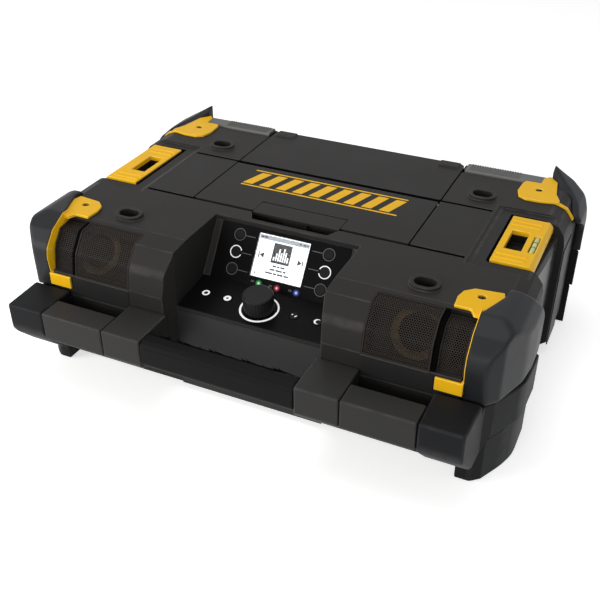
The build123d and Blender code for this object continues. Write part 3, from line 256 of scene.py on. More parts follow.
spark_texture, given, made = shader_group("spark_texture", {"Grains per mm": 2.0}, ("Height", "Speck"))
grain_scale = per_metre(spark_texture, given.outputs["Grains per mm"])
pits = add(spark_texture, "ShaderNodeTexVoronoi", {
    "Vector": object_place(spark_texture), "Scale": grain_scale,
}, feature="SMOOTH_F1")
ripple = mottle(spark_texture, math_node(spark_texture, "MULTIPLY", grain_scale, 0.45))
height = math_node(spark_texture, "MULTIPLY_ADD", pits.outputs["Distance"], 0.7, ripple)
spark_texture.links.new(height, made.inputs["Height"])
spark_texture.links.new(ripple, made.inputs["Speck"])

# Painted highlight on the rounded edges, broken into patches that stand for wear: the mask that makes them
# paler.
edge_highlight_and_wear, given, made = shader_group("edge_highlight_and_wear", {"Amount": 0.5, "Patches per mm": 0.08}, ("Mask",))
strips = add(edge_highlight_and_wear, "ShaderNodeAttribute", attribute_name="highlight_wear_strips")
patches = mottle(edge_highlight_and_wear, per_metre(edge_highlight_and_wear, given.outputs["Patches per mm"]), 5.0)
highlight_wear_mask = math_node(edge_highlight_and_wear, "MULTIPLY_ADD", patches, 2.4, -0.65)
highlight_wear_mask = add(edge_highlight_and_wear, "ShaderNodeClamp", {"Value": highlight_wear_mask}).outputs[0]
highlight_wear_mask = math_node(edge_highlight_and_wear, "MULTIPLY", highlight_wear_mask, strips.outputs["Fac"])
highlight_wear_mask = math_node(edge_highlight_and_wear, "MULTIPLY", highlight_wear_mask, given.outputs["Amount"])
edge_highlight_and_wear.links.new(highlight_wear_mask, made.inputs["Mask"])

hand_marks, given, made = shader_group("hand_marks", {"Marks per mm": 0.02}, ("Mask",))
clouds = add(hand_marks, "ShaderNodeTexNoise", {
    "Vector": object_place(hand_marks), "Scale": per_metre(hand_marks, given.outputs["Marks per mm"]),
    "Detail": 6.0, "Roughness": 0.62, "Distortion": 0.4,
})
hand_marks.links.new(clouds.outputs[0], made.inputs["Mask"])


def toned(colour, factor):
    """The colour made darker or paler."""
    return tuple(factor * part for part in colour)


def set_skin(tree, output, inputs):
    """Covers the piece in one skin with the given values and outputs."""
    skin = add(tree, "ShaderNodeBsdfPrincipled", inputs)
    tree.links.new(skin.outputs[0], output.inputs["Surface"])


def moulded_plastic(name, colour, pale, roughness, specular, grains=2.0, depth=0.03, highlight_wear=0.5):
    """Moulded plastic: colour that drifts a little, paler rounded edges that carry a painted highlight broken
    by wear, spark texture and hand marks.
    """
    material, tree, output = new_material(name)
    spark = place_group(tree, spark_texture, {"Grains per mm": grains})
    highlight_wear_strips = place_group(tree, edge_highlight_and_wear, {"Amount": highlight_wear})
    marks = place_group(tree, hand_marks, {})
    light = toned(colour, 1.16)
    drift = colour_between(tree, marks[0], toned(colour, 0.86), light)
    speckled = colour_between(tree, math_node(tree, "MULTIPLY", spark["Speck"], 0.35), drift, light)
    relief = add(tree, "ShaderNodeBump", {"Height": spark["Height"], "Distance": depth * MM, "Strength": 0.6})
    gloss_range = 0.18
    set_skin(tree, output, {
        "Base Color": colour_between(tree, highlight_wear_strips[0], speckled, pale),
        "Roughness": math_node(tree, "MULTIPLY_ADD", marks[0], gloss_range, roughness - gloss_range / 2),
        "Normal": relief.outputs[0], "Specular IOR Level": specular,
    })
    return material


slot_of = {part["node"]: part["material_slot"] for part in frame["record"]["subparts"]}
# Edges are sorted by their turn in degrees: rims, folds, and flat folds that need broad faces (mm).
fold_turn = 62.0
smooth_turn = 24.0
flat_turn = 4.0
least_breadth = 3.0
least_length = 6.0
share_of_face = 0.45
least_sine = 0.3
straight_on = -0.85
plain_sharp = 38.0


def room_at(edge, corner):
    """How far back the faces beside edge can be rounded at one of its corners."""
    along = (edge.other_vert(corner).co - corner.co).normalized()
    room = math.inf
    for face in edge.link_faces:
        for near in face.edges:
            if near is edge or corner not in near.verts:
                continue
            side = near.other_vert(corner).co - corner.co
            sine = along.cross(side.normalized()).length
            if sine > least_sine:
                room = min(room, share_of_face * side.length * sine)
    return room


def room_across(edge):
    """How far the faces beside edge reach before they meet another outline of theirs."""
    start = edge.verts[0].co
    along = edge.verts[1].co - start
    length = along.length
    along = along / length
    room = math.inf
    for face in edge.link_faces:
        for corner in face.verts:
            offset = corner.co - start
            past = offset.dot(along)
            away = (offset - past * along).length
            if 0.0 < past < length and away > 0.01 * MM:
                room = min(room, share_of_face * away)
    return room


def width_for(edge, crisp, soft):
    """Width of the rounding that the mould gives this edge, or None on a smooth stretch."""
    turn = math.degrees(edge.calc_face_angle(0.0))
    length = edge.calc_length()
    breadth = min(face.calc_area() for face in edge.link_faces) / length
    broad_fold = turn > flat_turn and breadth > least_breadth * MM and length > least_length * MM
    if turn > fold_turn:
        width = crisp
    elif turn > smooth_turn or broad_fold:
        width = soft
    else:
        return None
    return min(width * MM, room_across(edge), *(room_at(edge, corner) for corner in edge.verts))


def runs_on(edge, near, corner):
    """True when near carries the line of edge on past their common corner."""
    back = (edge.other_vert(corner).co - corner.co).normalized()
    onward = (near.other_vert(corner).co - corner.co).normalized()
    return back.dot(onward) < straight_on


def even_widths(widths):
    """Each run of edges takes the width of its narrowest edge."""
    settled = {}
    for edge in sorted(widths, key=lambda e: (widths[e], e.index)):
        front = [edge]
        while front:
            here = front.pop()
            if here in settled:
                continue
            settled[here] = widths[edge]
            for corner in here.verts:
                front.extend(
                    near for near in corner.link_edges
                    if near in widths and near not in settled and runs_on(here, near, corner)
                )
    return settled


def settle(piece):
    """Makes what the piece's modifiers give its own plain mesh."""
    graph = bpy.context.evaluated_depsgraph_get()
    mesh = bpy.data.meshes.new_from_object(piece.evaluated_get(graph))
    piece.modifiers.clear()
    piece.data = mesh


def shade_smooth(piece, sharp=plain_sharp):
    """Shades the faces as one form, except across edges that turn by more than sharp degrees."""
    mesh = piece.data
    mesh.polygons.foreach_set("use_smooth", [True] * len(mesh.polygons))
    mesh.set_sharp_from_angle(angle=math.radians(sharp))


def smooth_faces(piece, sharp=plain_sharp):
    """Shades flat faces flat and rounded strips round."""
    shade_smooth(piece, sharp)
    even = piece.modifiers.new("even", "WEIGHTED_NORMAL")
    even.keep_sharp = True
    even.weight = 80
    settle(piece)


def mark_strips(mesh):
    """Marks with 1 the corners that touch nothing but rounded strips, where the materials lay a painted
    highlight broken by wear.
    """
    highlight_wear_strips = [1.0] * len(mesh.vertices)
    for face in mesh.polygons:
        if face.material_index == 0:
            for vertex in face.vertices:
                highlight_wear_strips[vertex] = 0.0
    mesh.attributes.new("highlight_wear_strips", "FLOAT", "POINT").data.foreach_set("value", highlight_wear_strips)


def rounded(node, crisp, soft):
    """A piece like the CAD node with rounded edges, crisp at steps and rims, soft at folds of the form."""
    form = bmesh.new()
    form.from_mesh(frame["nodes"][node].data)
    bmesh.ops.remove_doubles(form, verts=form.verts, dist=0.001 * MM)
    bmesh.ops.dissolve_limit(form, angle_limit=math.radians(0.5), verts=form.verts, edges=form.edges)
    weight = form.edges.layers.float.new("bevel_weight_edge")
    form.edges.index_update()
    widths = {}
    for edge in form.edges:
        width = width_for(edge, crisp, soft)
        if width:
            widths[edge] = width
    widest = max(crisp, soft) * MM
    for edge, width in even_widths(widths).items():
        edge[weight] = width / widest
    mesh = bpy.data.meshes.new(node + "_rounded")
    form.to_mesh(mesh)
    form.free()
    piece = new_object(node + "_rounded", mesh)
    mesh.materials.append(None)
    mesh.materials.append(None)
    bevel = piece.modifiers.new("rounding", "BEVEL")
    bevel.limit_method = "WEIGHT"
    bevel.width = widest
    bevel.segments = 3
    bevel.use_clamp_overlap = False
    bevel.material = 1
    settle(piece)
    mark_strips(piece.data)
    piece.data.materials.clear()
    smooth_faces(piece)
    return piece


def stands_for(piece, *nodes):
    """The piece moves with the body of the first CAD node that it replaces, and those CAD nodes are hidden.
    """
    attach(piece, frame["nodes"][nodes[0]]["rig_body"])
    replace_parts(piece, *nodes)


def dress(nodes, material, crisp, soft=None):
    """Replaces each CAD node by a copy with rounded edges in one material."""
    for node in nodes.split():
        piece = rounded(node, crisp, soft or crisp)
        piece.data.materials.append(material)
        stands_for(piece, node)


def coat_nodes(slot, material):
    """Gives a material to the CAD nodes of a slot, seen or not."""
    for node, name in slot_of.items():
        if name == slot:
            mesh = frame["nodes"][node].data
            mesh.materials.clear()
            mesh.materials.append(material)


shell_black = moulded_plastic(
    "shell_plastic", (0.0225, 0.0210, 0.0203), (0.080, 0.079, 0.077),
    roughness=0.52, specular=0.10, highlight_wear=0.6,
)
coat_nodes("shell_black", shell_black)
dress("top_shell", shell_black, crisp=0.9, soft=5.0)
dress("base_shell", shell_black, crisp=0.8, soft=4.0)


# ---------------------------------------------------------------- covers
# The lid of the storage well, its catch and the plain cover behind it are
# separate mouldings of the same plastic, set flush in the deck.
dress("compartment_lid lid_catch", shell_black, crisp=0.5)
dress("rear_cover", shell_black, crisp=0.8, soft=2.5)
dress("rail_brackets", shell_black, crisp=0.6)


# ---------------------------------------------------------------- painted shadows
# Near-black matt strips lie in the grooves of the deck and along the latches and fill the gap
# beside each rail: painted shadow in those grooves and gaps. A thin near-black plate lies on the side behind
# each bay.
# Near-black matt plastic for the painted shadow in grooves, slits and gaps.
shadow_black = moulded_plastic(
    "shadow_black", (0.0030, 0.0030, 0.0032), grey(0.006),
    roughness=0.9, specular=0.0, grains=1.2, depth=0.05, highlight_wear=0.0,
)
well_black = moulded_plastic(
    "well_plastic", grey(0.012), grey(0.04),
    roughness=0.55, specular=0.22, highlight_wear=0.2,
)


def box_mm(node):
    """The lowest and highest corners of a CAD node, in mm."""
    return [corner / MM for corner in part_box(node)]


def piece_from(name, shape, material, body):
    """Makes the faces in shape a piece that rides on a body."""
    bmesh.ops.recalc_face_normals(shape, faces=shape.faces)
    mesh = bpy.data.meshes.new(name)
    shape.to_mesh(mesh)
    shape.free()
    mesh.materials.append(material)
    piece = new_object(name, mesh)
    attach(piece, body)
    return piece


def boxes(name, spans, material, body):
    """Plain boxes given by their spans in mm, in one piece."""
    shape = bmesh.new()
    for span in spans:
        middle = Vector(((low + high) / 2 for low, high in span)) * MM
        size = Vector((high - low for low, high in span)) * MM
        bmesh.ops.create_cube(shape, size=1.0, matrix=Matrix.LocRotScale(middle, None, size))
    return piece_from(name, shape, material, body)


def on_both_sides(x, y, z):
    """The spans of a box on the left side and of its twin on the right."""
    return [(sorted((side * x[0], side * x[1])), y, z) for side in (-1, 1)]


lid_low, lid_high = box_mm("compartment_lid")
cover_front = box_mm("rear_cover")[0].y
groove_width = cover_front - lid_high.y
groove_reach = 148.6
groove_fill = (lid_high.z - 2.9, lid_high.z - 0.7)
shadow_clear = 0.3
wall_clear = 0.1
front_groove = (lid_low.y - groove_width + wall_clear, lid_low.y - shadow_clear)
rear_groove = (lid_high.y + shadow_clear, cover_front - wall_clear)
# Painted shadow: near-black strips fill the grooves around the lid.
boxes("deck_groove_shadows", [
    *on_both_sides((lid_high.x + shadow_clear + wall_clear, groove_reach), front_groove, groove_fill),
    ((-groove_reach, groove_reach), rear_groove, groove_fill),
], shadow_black, "root")

latch_low, latch_high = box_mm("right_latch")
shoulder_drop = 2.6
shoulder_top = lid_high.z - shoulder_drop
slit_fill = (shoulder_top - 0.3, shoulder_top + 0.35)
slit_inner, slit_outer = latch_low.x - 2.7, 195.0
# Painted shadow: near-black strips in the slits beside and behind each latch.
boxes("latch_slit_shadows", [
    *on_both_sides((slit_inner, latch_low.x - shadow_clear), (latch_low.y, latch_high.y + 0.8), slit_fill),
    *on_both_sides((slit_inner, slit_outer), (latch_high.y + 1.7, latch_high.y + 4.0), slit_fill),
], shadow_black, "root")

rail_low, rail_high = box_mm("rear_rails")
# Painted shadow: near-black blocks fill the gap beside each rail.
rail_gap_x = (101.3, 103.8)
rail_gap_y = (rail_low.y + 1.5, rail_high.y - 0.5)
rail_gap_z = (rail_low.z, lid_high.z - 1.0)
boxes("rail_gap_shadows", on_both_sides(rail_gap_x, rail_gap_y, rail_gap_z), shadow_black, "root")

shell_side = box_mm("top_shell")[1].x
cheek_x = (shell_side - 0.6, shell_side + 0.5)
cheek_y = (76.0, box_mm("rear_right_guard")[0].y - 0.4)
cheek_z = (11.0, 110.0)
boxes("rear_cheeks", on_both_sides(cheek_x, cheek_y, cheek_z), well_black, "root")


# ---------------------------------------------------------------- bay panels
# A smooth glossy sheet lines each side bay under the latch. It is pressed to a
# slight crown and clipped over the wall of the housing.
bay_gloss = moulded_plastic(
    "bay_gloss", (0.0150, 0.0158, 0.0170), grey(0.05),
    roughness=0.36, specular=0.30, grains=3.0, depth=0.004, highlight_wear=0.2,
)
bay_y = (-8.4, 71.4)
bay_wall = (201.6, 206.4)
bay_foot, bay_top = 8.5, 121.0
bay_clear = 0.25
bay_crown = 1.9
bay_tuck = 1.0
bay_lip_reach, bay_lip_drop = 2.2, 2.5
bay_steps = 16


def join_sections(shape, sections, closed=False):
    """Walls between sections that follow one another, run into a ring or shut at both ends."""
    followers = sections[1:] + sections[:1] if closed else sections[1:]
    for section, follower in zip(sections, followers):
        for here in range(len(section)):
            ahead = (here + 1) % len(section)
            shape.faces.new((section[here], section[ahead], follower[ahead], follower[here]))
    if not closed:
        shape.faces.new(sections[0])
        shape.faces.new(sections[-1])


for side, name in ((-1, "left"), (1, "right")):
    sheet = bmesh.new()
    sections = []
    for step in range(bay_steps + 1):
        t = step / bay_steps
        y = bay_y[0] + t * (bay_y[1] - bay_y[0])
        wall_x = bay_wall[0] + t * (bay_wall[1] - bay_wall[0])
        face_x = wall_x + bay_clear + bay_crown * 4 * t * (1 - t)
        outline = (
            (wall_x - bay_tuck, bay_foot), (face_x, bay_foot), (face_x, bay_top - bay_lip_drop),
            (face_x - bay_lip_reach, bay_top), (wall_x - 2 * bay_tuck, bay_top),
        )
        sections.append([sheet.verts.new((side * x * MM, y * MM, z * MM)) for x, z in outline])
    join_sections(sheet, sections)
    shade_smooth(piece_from(f"{name}_bay_panel", sheet, bay_gloss, "root"))


# ---------------------------------------------------------------- storage well
# A deep box of plain black plastic under the lid, with the battery dock and
# the gloss panel of the sockets on its back wall.
coat_nodes("well_black", well_black)
dress("storage_well battery_dock mains_inlet", well_black, crisp=0.6)
panel_gloss = moulded_plastic(
    "gloss_panel", (0.0036, 0.0036, 0.0039), (0.030, 0.030, 0.032),
    roughness=0.30, specular=0.05, grains=3.0, depth=0.006, highlight_wear=0.3,
)
coat_nodes("panel_gloss", panel_gloss)
dress("display_plate control_panel port_panel", panel_gloss, crisp=0.4)


# ---------------------------------------------------------------- guards and bar
# Thick corner guards of tough plastic, whose folds melt into one another, take the
# knocks above middle bumpers and feet of a duller grade. The carrying bar is moulded
# like the guards and has a rubber grip.
# The blue lean of the guard colours is a painted cool reflection on their facets.
guard_black = moulded_plastic(
    "guard_plastic", (0.0160, 0.0168, 0.0192), (0.050, 0.053, 0.058),
    roughness=0.42, specular=0.15, grains=2.6, depth=0.02, highlight_wear=0.3,
)
coat_nodes("guard_black", guard_black)
melt_grain = 0.75
melt_passes = 36
free_reach = 7.0
least_freedom = 0.02


def flowing_form(piece, foot, inner):
    """Melts the folds of a thick moulding into one another, except close to its foot and inner side (mm)."""
    grain = piece.modifiers.new("grain", "REMESH")
    grain.mode = "VOXEL"
    grain.voxel_size = melt_grain * MM
    settle(piece)
    free = piece.vertex_groups.new(name="free")
    for vertex in piece.data.vertices:
        from_foot = vertex.co.z / MM - foot
        from_inner = abs(vertex.co.x) / MM - inner
        freedom = min(1.0, from_foot / free_reach, from_inner / free_reach)
        free.add([vertex.index], max(least_freedom, freedom), "REPLACE")
    melt = piece.modifiers.new("melt", "SMOOTH")
    melt.factor = 0.5
    melt.iterations = melt_passes
    melt.vertex_group = "free"
    settle(piece)
    piece.vertex_groups.clear()
    piece.data.polygons.foreach_set("use_smooth", [True] * len(piece.data.polygons))


for corner in ("front_left", "front_right", "rear_left", "rear_right"):
    low, high = box_mm(corner + "_guard")
    guard = rounded(corner + "_guard", crisp=2.0, soft=5.0)
    flowing_form(guard, foot=low.z, inner=min(abs(low.x), abs(high.x)))
    guard.data.materials.append(guard_black)
    stands_for(guard, corner + "_guard")
bumper_black = moulded_plastic(
    "bumper_plastic", (0.0092, 0.0096, 0.0106), (0.045, 0.046, 0.050),
    roughness=0.50, specular=0.08, grains=2.0, depth=0.03, highlight_wear=0.5,
)
dress("front_left_bumper front_right_bumper rear_bumpers feet", bumper_black, crisp=2.5, soft=8.0)
bar_grey = moulded_plastic(
    "bar_plastic", (0.0250, 0.0240, 0.0236), (0.068, 0.066, 0.065),
    roughness=0.44, specular=0.15, grains=2.4, depth=0.02, highlight_wear=0.5,
)
dress("bar_covers handle_frame", bar_grey, crisp=1.8, soft=3.0)
grip_rubber = moulded_plastic(
    "grip_rubber", (0.0045, 0.0045, 0.0048), (0.024, 0.024, 0.025),
    roughness=0.52, specular=0.08, grains=1.6, depth=0.04, highlight_wear=0.3,
)
coat_nodes("grip_rubber", grip_rubber)
dress("handle_grip", grip_rubber, crisp=2.5, soft=3.0)


# ---------------------------------------------------------------- yellow trim
# Satin yellow mouldings: the tabs and strips that hold the corner guards, and
# the two side latches that lock a case on top of this one.
trim_yellow = moulded_plastic(
    "yellow_plastic", (0.90, 0.500, 0.010), (0.97, 0.74, 0.16),
    roughness=0.36, specular=0.10, grains=3.0, depth=0.008, highlight_wear=0.8,
)
coat_nodes("trim_yellow", trim_yellow)
dress("front_trims rear_trims", trim_yellow, crisp=0.6, soft=1.5)
dress("left_latch right_latch", trim_yellow, crisp=0.6, soft=1.5)


# ---------------------------------------------------------------- grilles
# Each speaker looks out through thin steel, perforated in a close hexagonal pattern,
# folded to the facets of the front and held in a plain flush rim. A near-black strip in the
# joint beside it is painted shadow; below lie a pale grey strip, a painted highlight along the
# shell's edge, and a black sheet, painted shade on the front under the grille.
def geometry_tree(name, inputs):
    """An empty geometry tree with named inputs, and its two ends."""
    group = bpy.data.node_groups.new(name, "GeometryNodeTree")
    group.interface.new_socket(name="Geometry", in_out="INPUT", socket_type="NodeSocketGeometry")
    for label, kind in inputs.items():
        group.interface.new_socket(name=label, in_out="INPUT", socket_type="NodeSocket" + kind)
    group.interface.new_socket(name="Geometry", in_out="OUTPUT", socket_type="NodeSocketGeometry")
    return group, add(group, "NodeGroupInput").outputs, add(group, "NodeGroupOutput")


def vector_node(tree, operation, first, second=None, scale=None):
    """The result of a sum on vectors."""
    inputs = {0: first}
    if second is not None:
        inputs[1] = second
    if scale is not None:
        inputs["Scale"] = scale
    return add(tree, "ShaderNodeVectorMath", inputs, operation=operation).outputs[0]


def finish_tree(tree, geometry, material, made):
    """Ends a geometry tree with real faces in one material."""
    real = add(tree, "GeometryNodeRealizeInstances", {0: geometry})
    coloured = add(tree, "GeometryNodeSetMaterial", {"Geometry": real.outputs[0], "Material": material})
    tree.links.new(coloured.outputs[0], made.inputs[0])


perforated_sheet, given, made = geometry_tree("perforated_sheet", {
    "Columns": "Int", "Rows": "Int", "Pitch": "Float", "Hole radius": "Float", "Material": "Material",
})
tree = perforated_sheet
corners_per_cell = 12
row_step = math.sqrt(0.75)
index = add(tree, "GeometryNodeInputIndex").outputs[0]
where = add(tree, "GeometryNodeInputPosition").outputs[0]
blank = add(tree, "GeometryNodeMeshCircle", {"Vertices": corners_per_cell, "Radius": 1.0}, fill_type="NGON")
odd_corner = math_node(tree, "MODULO", index, 2.0)
reach = math_node(tree, "MULTIPLY_ADD", odd_corner, 1 / row_step - 1.0, 1.0)
reach = math_node(tree, "MULTIPLY", reach, math_node(tree, "MULTIPLY", given["Pitch"], 0.5))
hexagon = add(tree, "GeometryNodeSetPosition", {
    "Geometry": blank.outputs[0], "Position": vector_node(tree, "SCALE", where, scale=reach),
})
pulled = add(tree, "GeometryNodeExtrudeMesh", {
    "Mesh": hexagon.outputs[0], "Offset Scale": 0.0, "Individual": False,
}, mode="FACES")
to_hole = vector_node(tree, "SCALE", vector_node(tree, "NORMALIZE", where), scale=given["Hole radius"])
ringed = add(tree, "GeometryNodeSetPosition", {
    "Geometry": pulled.outputs["Mesh"], "Selection": pulled.outputs["Top"], "Position": to_hole,
})
cell = add(tree, "GeometryNodeDeleteGeometry", {
    "Geometry": ringed.outputs[0], "Selection": pulled.outputs["Top"],
}, domain="FACE")
row_pitch = math_node(tree, "MULTIPLY", given["Pitch"], row_step)
grid = add(tree, "GeometryNodeMeshGrid", {
    "Size X": math_node(tree, "MULTIPLY", math_node(tree, "SUBTRACT", given["Columns"], 1.0), given["Pitch"]),
    "Size Y": math_node(tree, "MULTIPLY", math_node(tree, "SUBTRACT", given["Rows"], 1.0), row_pitch),
    "Vertices X": given["Columns"], "Vertices Y": given["Rows"],
})
odd_row = math_node(tree, "MODULO", math_node(tree, "MODULO", index, given["Rows"]), 2.0)
stagger = math_node(tree, "MULTIPLY", math_node(tree, "MULTIPLY_ADD", odd_row, 0.5, -0.25), given["Pitch"])
staggered = add(tree, "GeometryNodeSetPosition", {
    "Geometry": grid.outputs[0], "Offset": add(tree, "ShaderNodeCombineXYZ", {0: stagger}).outputs[0],
})
laid = add(tree, "GeometryNodeInstanceOnPoints", {
    "Points": staggered.outputs[0], "Instance": cell.outputs[0],
})
flat = add(tree, "GeometryNodeRealizeInstances", {0: laid.outputs[0]})
joined = add(tree, "GeometryNodeMergeByDistance", {"Geometry": flat.outputs[0], "Distance": 0.01 * MM})
fold = add(tree, "GeometryNodeMeshToCurve", {"Mesh": given["Geometry"]})
fold_length = add(tree, "GeometryNodeCurveLength", {0: fold.outputs[0]}).outputs[0]
half_fold = math_node(tree, "MULTIPLY", fold_length, 0.5)
spot = add(tree, "ShaderNodeSeparateXYZ", {0: where}).outputs
on_fold = add(tree, "GeometryNodeSampleCurve", {
    "Curves": fold.outputs[0], "Length": math_node(tree, "ADD", spot[1], half_fold),
}, mode="LENGTH")
beside = add(tree, "ShaderNodeCombineXYZ", {0: spot[0]}).outputs[0]
folded = add(tree, "GeometryNodeSetPosition", {
    "Geometry": joined.outputs[0],
    "Position": vector_node(tree, "ADD", on_fold.outputs["Position"], beside),
})
finish_tree(tree, folded.outputs[0], given["Material"], made)


def grown(name, seed, tree, inputs):
    """A piece that a geometry tree makes from a seed mesh with its inputs set by name."""
    piece = new_object(name, seed)
    growth = piece.modifiers.new("growth", "NODES")
    growth.node_group = tree
    for item in tree.interface.items_tree:
        if item.name in inputs:
            growth[item.identifier] = inputs[item.name]
    return piece


def face_outwards(piece):
    """Turns the faces of closed solids outwards."""
    solid = bmesh.new()
    solid.from_mesh(piece.data)
    bmesh.ops.recalc_face_normals(solid, faces=solid.faces)
    solid.to_mesh(piece.data)
    solid.free()


def drawn_in(line, depth):
    """A side view line moved inwards by depth, each corner along its own bisector."""
    runs = [(b - a).normalized() for a, b in zip(line, line[1:])]
    moved = []
    for point, first, second in zip(line, runs[:1] + runs, runs + runs[-1:]):
        inwards = Vector((first.y + second.y, -first.x - second.x)).normalized()
        moved.append(point + inwards * depth / inwards.dot(Vector((first.y, -first.x))))
    return moved


def eased(line, reach, steps=4):
    """The line with each fold rounded over reach on both sides."""
    points = [line[0]]
    for before, fold_point, after in zip(line, line[1:], line[2:]):
        start = fold_point + (before - fold_point).normalized() * reach
        end = fold_point + (after - fold_point).normalized() * reach
        for step in range(steps + 1):
            t = step / steps
            points.append(start.lerp(fold_point, t).lerp(fold_point.lerp(end, t), t))
    return points + [line[-1]]


def folded_strip(shape, line, x_low, x_high, thickness):
    """A solid strip that lies under a side view line between two widths."""
    sections = []
    for outer, inner in zip(line, drawn_in(line, thickness)):
        corners = ((x_low, outer), (x_high, outer), (x_high, inner), (x_low, inner))
        sections.append([shape.verts.new((x * MM, spot.x * MM, spot.y * MM)) for x, spot in corners])
    join_sections(shape, sections)


grille_black, tree, output = new_material("grille_steel")
marks = place_group(tree, hand_marks, {})
set_skin(tree, output, {
    "Base Color": colour_between(tree, marks[0], (0.0240, 0.0198, 0.0170), (0.0330, 0.0275, 0.0240)),
    "Roughness": math_node(tree, "MULTIPLY_ADD", marks[0], 0.2, 0.32), "Specular IOR Level": 0.08,
})
coat_nodes("grille_black", grille_black)

grille_low, grille_high = box_mm("right_grille")
front_fold = [Vector(spot) for spot in (
    (grille_low.y, grille_low.z), (-118.5, 120.0), (-106.0, 136.0), (-92.0, 137.4),
)]
fold_reach = 2.5
hole_pitch = 1.9
hole_radius = 0.68
rim_width = 1.1
rim_thickness = 2.0
sheet_margin = 1.0
sheet_depth = 0.6
sheet_thickness = 0.5


def grille(name, nodes, x_low, x_high, line):
    """A perforated sheet with its rim between two widths, under a side view line."""
    soft_line = eased(line, fold_reach)
    sheet_line = drawn_in(soft_line, sheet_depth)
    length = sum((b - a).length for a, b in zip(sheet_line, sheet_line[1:]))
    middle = (x_low + x_high) / 2
    points = [(middle * MM, spot.x * MM, spot.y * MM) for spot in sheet_line]
    seed = bpy.data.meshes.new(name)
    seed.from_pydata(points, [(i, i + 1) for i in range(len(points) - 1)], [])
    sheet = grown(name, seed, perforated_sheet, {
        "Columns": int((x_high - x_low - sheet_margin) / hole_pitch - 0.5),
        "Rows": int((length - sheet_margin) / (hole_pitch * row_step)),
        "Pitch": hole_pitch * MM, "Hole radius": hole_radius * MM, "Material": grille_black,
    })
    thicken = sheet.modifiers.new("thickness", "SOLIDIFY")
    thicken.thickness = sheet_thickness * MM
    thicken.offset = 0.0
    settle(sheet)
    face_outwards(sheet)
    stands_for(sheet, *nodes)
    rim = bmesh.new()
    folded_strip(rim, soft_line, x_low, x_low + rim_width, rim_thickness)
    folded_strip(rim, soft_line, x_high - rim_width, x_high, rim_thickness)
    bottom = [line[0], line[0].lerp(line[1], rim_width / (line[1] - line[0]).length)]
    top = [line[-1].lerp(line[-2], rim_width / (line[-1] - line[-2]).length), line[-1]]
    for edge_line in (bottom, top):
        folded_strip(rim, edge_line, x_low + rim_width, x_high - rim_width, rim_thickness)
    piece_from(name + "_rim", rim, grille_black, "root")


joint_depth = 1.2
joint_clear = 0.05


def joint_shadow(name, x_low, x_high):
    """A near-black strip in the joint between a main grille and the narrow one beside it: painted shadow."""
    shadow_strip = bmesh.new()
    line = drawn_in(eased(front_fold, fold_reach), joint_depth)
    folded_strip(shadow_strip, line, x_low + joint_clear, x_high - joint_clear, thickness=3.0)
    piece_from(name, shadow_strip, shadow_black, "root")


main_low, main_high = grille_low.x, grille_high.x
grille("right_grille_sheet", ["right_grille"], main_low, main_high, front_fold)
grille("left_grille_sheet", ["left_grille"], -main_high, -main_low, front_fold)
side_low, side_high = 161.0, box_mm("side_grilles")[1].x
side_step = 4.0
side_fold = drawn_in(front_fold, side_step)
grille("right_side_grille_sheet", ["side_grilles"], side_low, side_high, side_fold)
grille("left_side_grille_sheet", ["side_grilles"], -side_high, -side_low, side_fold)
joint_shadow("right_grille_joint_shadow", main_high, side_low)
joint_shadow("left_grille_joint_shadow", -side_low, -main_high)

# Painted highlight and painted shade below each main grille: a pale grey strip stands for the highlight along
# the shell's edge, and a black sheet under it stands for the shade on the front face.
highlight_sill_grey = moulded_plastic(
    "highlight_sill_plastic", (0.060, 0.058, 0.056), grey(0.10),
    roughness=0.5, specular=0.12, highlight_wear=0.2,
)
shade_sheet_x = (main_low + 0.4, side_low - 0.4)
under_grille_y = (grille_low.y - 0.4, grille_low.y + 0.6)
shade_sheet_z = (81.0, grille_low.z - 1.6)
highlight_sill_z = (grille_low.z - 1.3, grille_low.z - 0.3)
boxes("grille_shade_sheets", on_both_sides(shade_sheet_x, under_grille_y, shade_sheet_z), well_black, "root")
boxes("grille_highlight_sills", on_both_sides((main_low, main_high), under_grille_y, highlight_sill_z), highlight_sill_grey, "root")


# ---------------------------------------------------------------- speakers
# Behind each grille a paper cone hangs in a frame with a broad bronze ring, which
# shows faintly through the perforations.
speaker_bronze, tree, output = new_material("speaker_bronze")
spun = mottle(tree, 900.0)
set_skin(tree, output, {
    "Base Color": colour_between(tree, spun, (0.085, 0.050, 0.016), (0.13, 0.078, 0.027)),
    "Metallic": 0.35, "Roughness": math_node(tree, "MULTIPLY_ADD", spun, 0.2, 0.35),
})
speaker_paper = moulded_plastic(
    "speaker_paper", (0.020, 0.018, 0.016), grey(0.05),
    roughness=0.8, specular=0.1, grains=0.8, depth=0.05, highlight_wear=0.0,
)
coat_nodes("speaker_bronze", speaker_paper)
coat_nodes("speaker_paper", speaker_paper)


def turned(shape, place, profile, steps=48):
    """A solid of revolution about the Z axis of a place; the profile runs from axis to axis in mm."""
    rows = []
    for radius, height in profile:
        if radius == 0.0:
            rows.append([shape.verts.new(place @ Vector((0.0, 0.0, height * MM)))])
            continue
        ring = []
        for step in range(steps):
            angle = math.tau * step / steps
            spot = Vector((radius * math.cos(angle), radius * math.sin(angle), height)) * MM
            ring.append(shape.verts.new(place @ spot))
        rows.append(ring)
    for row, following in zip(rows, rows[1:]):
        for step in range(steps):
            ahead = (step + 1) % steps
            corners = [row[step % len(row)], row[ahead % len(row)], following[ahead % len(following)],
                       following[step % len(following)]]
            shape.faces.new(list(dict.fromkeys(corners)))
    if len(rows[0]) > 1:
        for step in range(steps):
            ahead = (step + 1) % steps
            shape.faces.new((rows[-1][step], rows[-1][ahead], rows[0][ahead], rows[0][step]))


